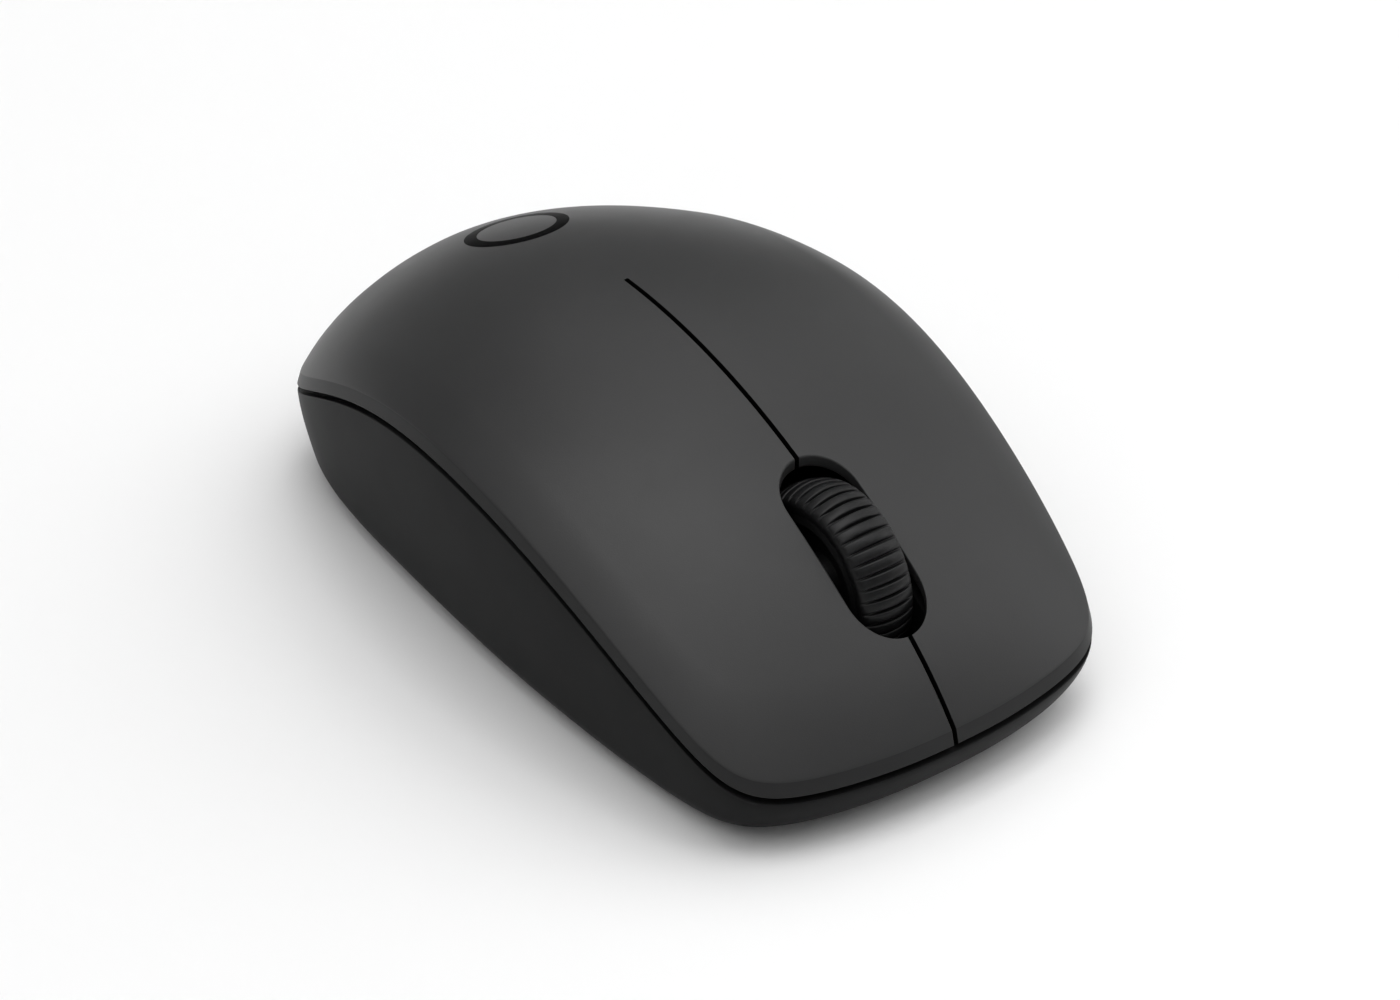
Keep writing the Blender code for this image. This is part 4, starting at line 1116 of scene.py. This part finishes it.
def soften(obj, width):
    """A small radius on the edges."""
    bevel = obj.modifiers.new("edges", "BEVEL")
    bevel.width = width * MM
    bevel.segments = 3
    bevel.limit_method = "ANGLE"
    bevel.angle_limit = radians(40)
    bevel.harden_normals = True


def finish(obj, material):
    obj.data.materials.clear()
    obj.data.materials.append(material)


def finish_cover(obj):
    """The band above the rim gets a copy of the shell with less reflection, as painted shade that
    darkens the band, and the slit's walls are painted near black, as painted shade for the dark
    inside of the slit.
    """
    finish(obj, SHELL)
    obj.data.materials.append(SHELL_BAND_SHADED)
    obj.data.materials.append(SLIT_PAINTED_SHADE)
    x, y, _ = np.array([face.center for face in obj.data.polygons]).T / MM
    _, distance, (reach, *_) = rim_at(x, y)
    # Faces on the slit's walls get the near-black painted shade.
    slit_shade_faces = (np.abs(x) < SLIT_HALF_WIDTH + 0.01) & (y < SLIT_END_Y)
    # Faces in the band above the rim get the less reflective copy, as painted shade.
    index = np.where(slit_shade_faces, 2, np.where(reach - distance < BAND_INSET, 1, 0))
    obj.data.polygons.foreach_set("material_index", index.astype(np.int32))


# Looks of the CAD nodes that are shown as they are, with the width of their edges' small radius.
NODE_LOOKS = {
    # The battery door and receiver cap share the base's darker copy, as painted shade.
    BASE_SHADED_SHELL: (("battery_door", 0.12), ("receiver_cap", 0.25)),
    INNER: (("wheel_hub", 0.08), ("wheel_stand", 0.15), ("wheel_cradle", 0.1),
            ("receiver_tongue", 0.1)),
    SWITCH: (("left_switch_body", 0.12), ("right_switch_body", 0.12), ("middle_switch_body", 0.12),
             ("middle_switch_plunger", 0.15), ("led_clip", 0.08)),
    PLUNGER: (("left_switch_plunger", 0.15), ("right_switch_plunger", 0.15),
              ("power_slider", 0.08)),
    STEEL: (("receiver_plug", 0.06), ("power_switch_body", 0.1), ("battery_spring_contact", 0),
            ("battery_plate_contact", 0.1), ("crystal", 0.25)),
    GLIDE: (("front_glide", 0.15), ("left_glide", 0.15), ("right_glide", 0.15)),
    CHIP: (("optical_sensor", 0.1), ("controller_chip", 0.08), ("encoder_detector", 0.1)),
    BOARD: (("circuit_board", 0.06),),
    CELL: (("battery", 0.12),),
    CAN: (("capacitor", 0.12),),
    LENS: (("sensor_lens", 0.1), ("encoder_emitter", 0.1)),
    LED: (("tracking_led", 0.08),),
}


def dress_nodes():
    for material, nodes in NODE_LOOKS.items():
        for name, width in nodes:
            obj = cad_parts[name]
            obj.data.materials.clear()
            obj.data.materials.append(material)
            obj.data.shade_smooth()
            obj.data.set_sharp_from_angle(angle=radians(SHARP_ANGLE))
            if width:
                soften(obj, width)


# ---------------------------------------------------------------- floor, light and camera


def make_floor():
    """A round pale floor that curves up into a wall all round."""
    look = Look("floor", Roughness=0.6)
    look.feed(Base_Color=look.ramp(look.noise(0.004), ((0.3, 0.86), (0.7, 0.88))))
    flat, bend, high, sides = 1.9, 0.7, 2.4, 96
    rings = [(0.3, 0), (0.9, 0), (flat, 0)]
    for turn in range(10, 91, 10):
        a = radians(turn)
        rings.append((flat + bend * sin(a), bend * (1 - cos(a))))
    rings.append((flat + bend, high))
    shape = bmesh.new()
    middle = shape.verts.new((0, 0, 0))
    loops = []
    for radius, z in rings:
        turns = [2 * pi * i / sides for i in range(sides)]
        loops.append([shape.verts.new((radius * cos(t), radius * sin(t), z)) for t in turns])
    for i in range(sides):
        j = (i + 1) % sides
        shape.faces.new((middle, loops[0][i], loops[0][j]))
        for inner, outer in zip(loops, loops[1:]):
            shape.faces.new((inner[i], outer[i], outer[j], inner[j]))
    mesh = bpy.data.meshes.new("floor")
    shape.to_mesh(mesh)
    shape.free()
    mesh.shade_smooth()
    mesh.materials.append(look.material)
    floor = bpy.data.objects.new("floor", mesh)
    bpy.context.scene.collection.objects.link(floor)


# Softboxes round the mouse: (azimuth, elevation, power). Azimuth 0 stands in front, at -Y.
SOFT_LIGHTS = (
    (0, 88, 10.5), (-37, 55, 1.9), (8, 55, 1.1), (53, 55, 4.9), (98, 55, 3.0), (143, 55, 3.4),
    (188, 55, 0.6), (233, 55, 2.0), (278, 55, 3.3), (71, 24, 4.1), (107, 24, 1.8),
)
SOFT_LIGHT_DISTANCE = 1.6
SOFT_LIGHT_SIZE = 0.9
SOFT_LIGHT_AIM = 0.015
WORLD_STRENGTH = 0.02


def make_light():
    world = bpy.data.worlds.new("studio")
    world.use_nodes = True
    background = world.node_tree.nodes["Background"]
    background.inputs["Color"].default_value = (1, 1, 1, 1)
    background.inputs["Strength"].default_value = WORLD_STRENGTH
    bpy.context.scene.world = world
    bpy.context.scene.view_settings.view_transform = "Standard"
    for i, (azimuth, elevation, power) in enumerate(SOFT_LIGHTS):
        a, e = radians(azimuth), radians(elevation)
        back = Vector((sin(a) * cos(e), -cos(a) * cos(e), sin(e)))
        data = bpy.data.lights.new(f"softbox_{i}", "AREA")
        data.shape = "SQUARE"
        data.size = SOFT_LIGHT_SIZE
        data.energy = power
        lamp = bpy.data.objects.new(data.name, data)
        lamp.location = back * SOFT_LIGHT_DISTANCE + Vector((0, 0, SOFT_LIGHT_AIM))
        lamp.rotation_euler = (-back).to_track_quat("-Z", "Y").to_euler()
        bpy.context.scene.collection.objects.link(lamp)


def make_camera():
    a, e, roll = CAMERA_AZIMUTH, CAMERA_ELEVATION, CAMERA_ROLL
    back = Vector((sin(a) * cos(e), -cos(a) * cos(e), sin(e)))
    right = Vector((cos(a), sin(a), 0))
    up = back.cross(right)
    axes = (right * cos(roll) + up * sin(roll), up * cos(roll) - right * sin(roll), back)
    data = bpy.data.cameras.new("camera")
    data.sensor_width = 36
    data.lens = CAMERA_LENS
    camera = bpy.data.objects.new("camera", data)
    bpy.context.scene.collection.objects.link(camera)
    place = Matrix.Translation(point(*CAMERA_TARGET) + back * CAMERA_DISTANCE * MM)
    camera.matrix_world = place @ Matrix(axes).transposed().to_4x4()
    bpy.context.scene.camera = camera


make_cover()
make_base()
make_tyre()
make_spring()
make_screws()
make_print()
dress_nodes()
make_floor()
make_light()
make_camera()
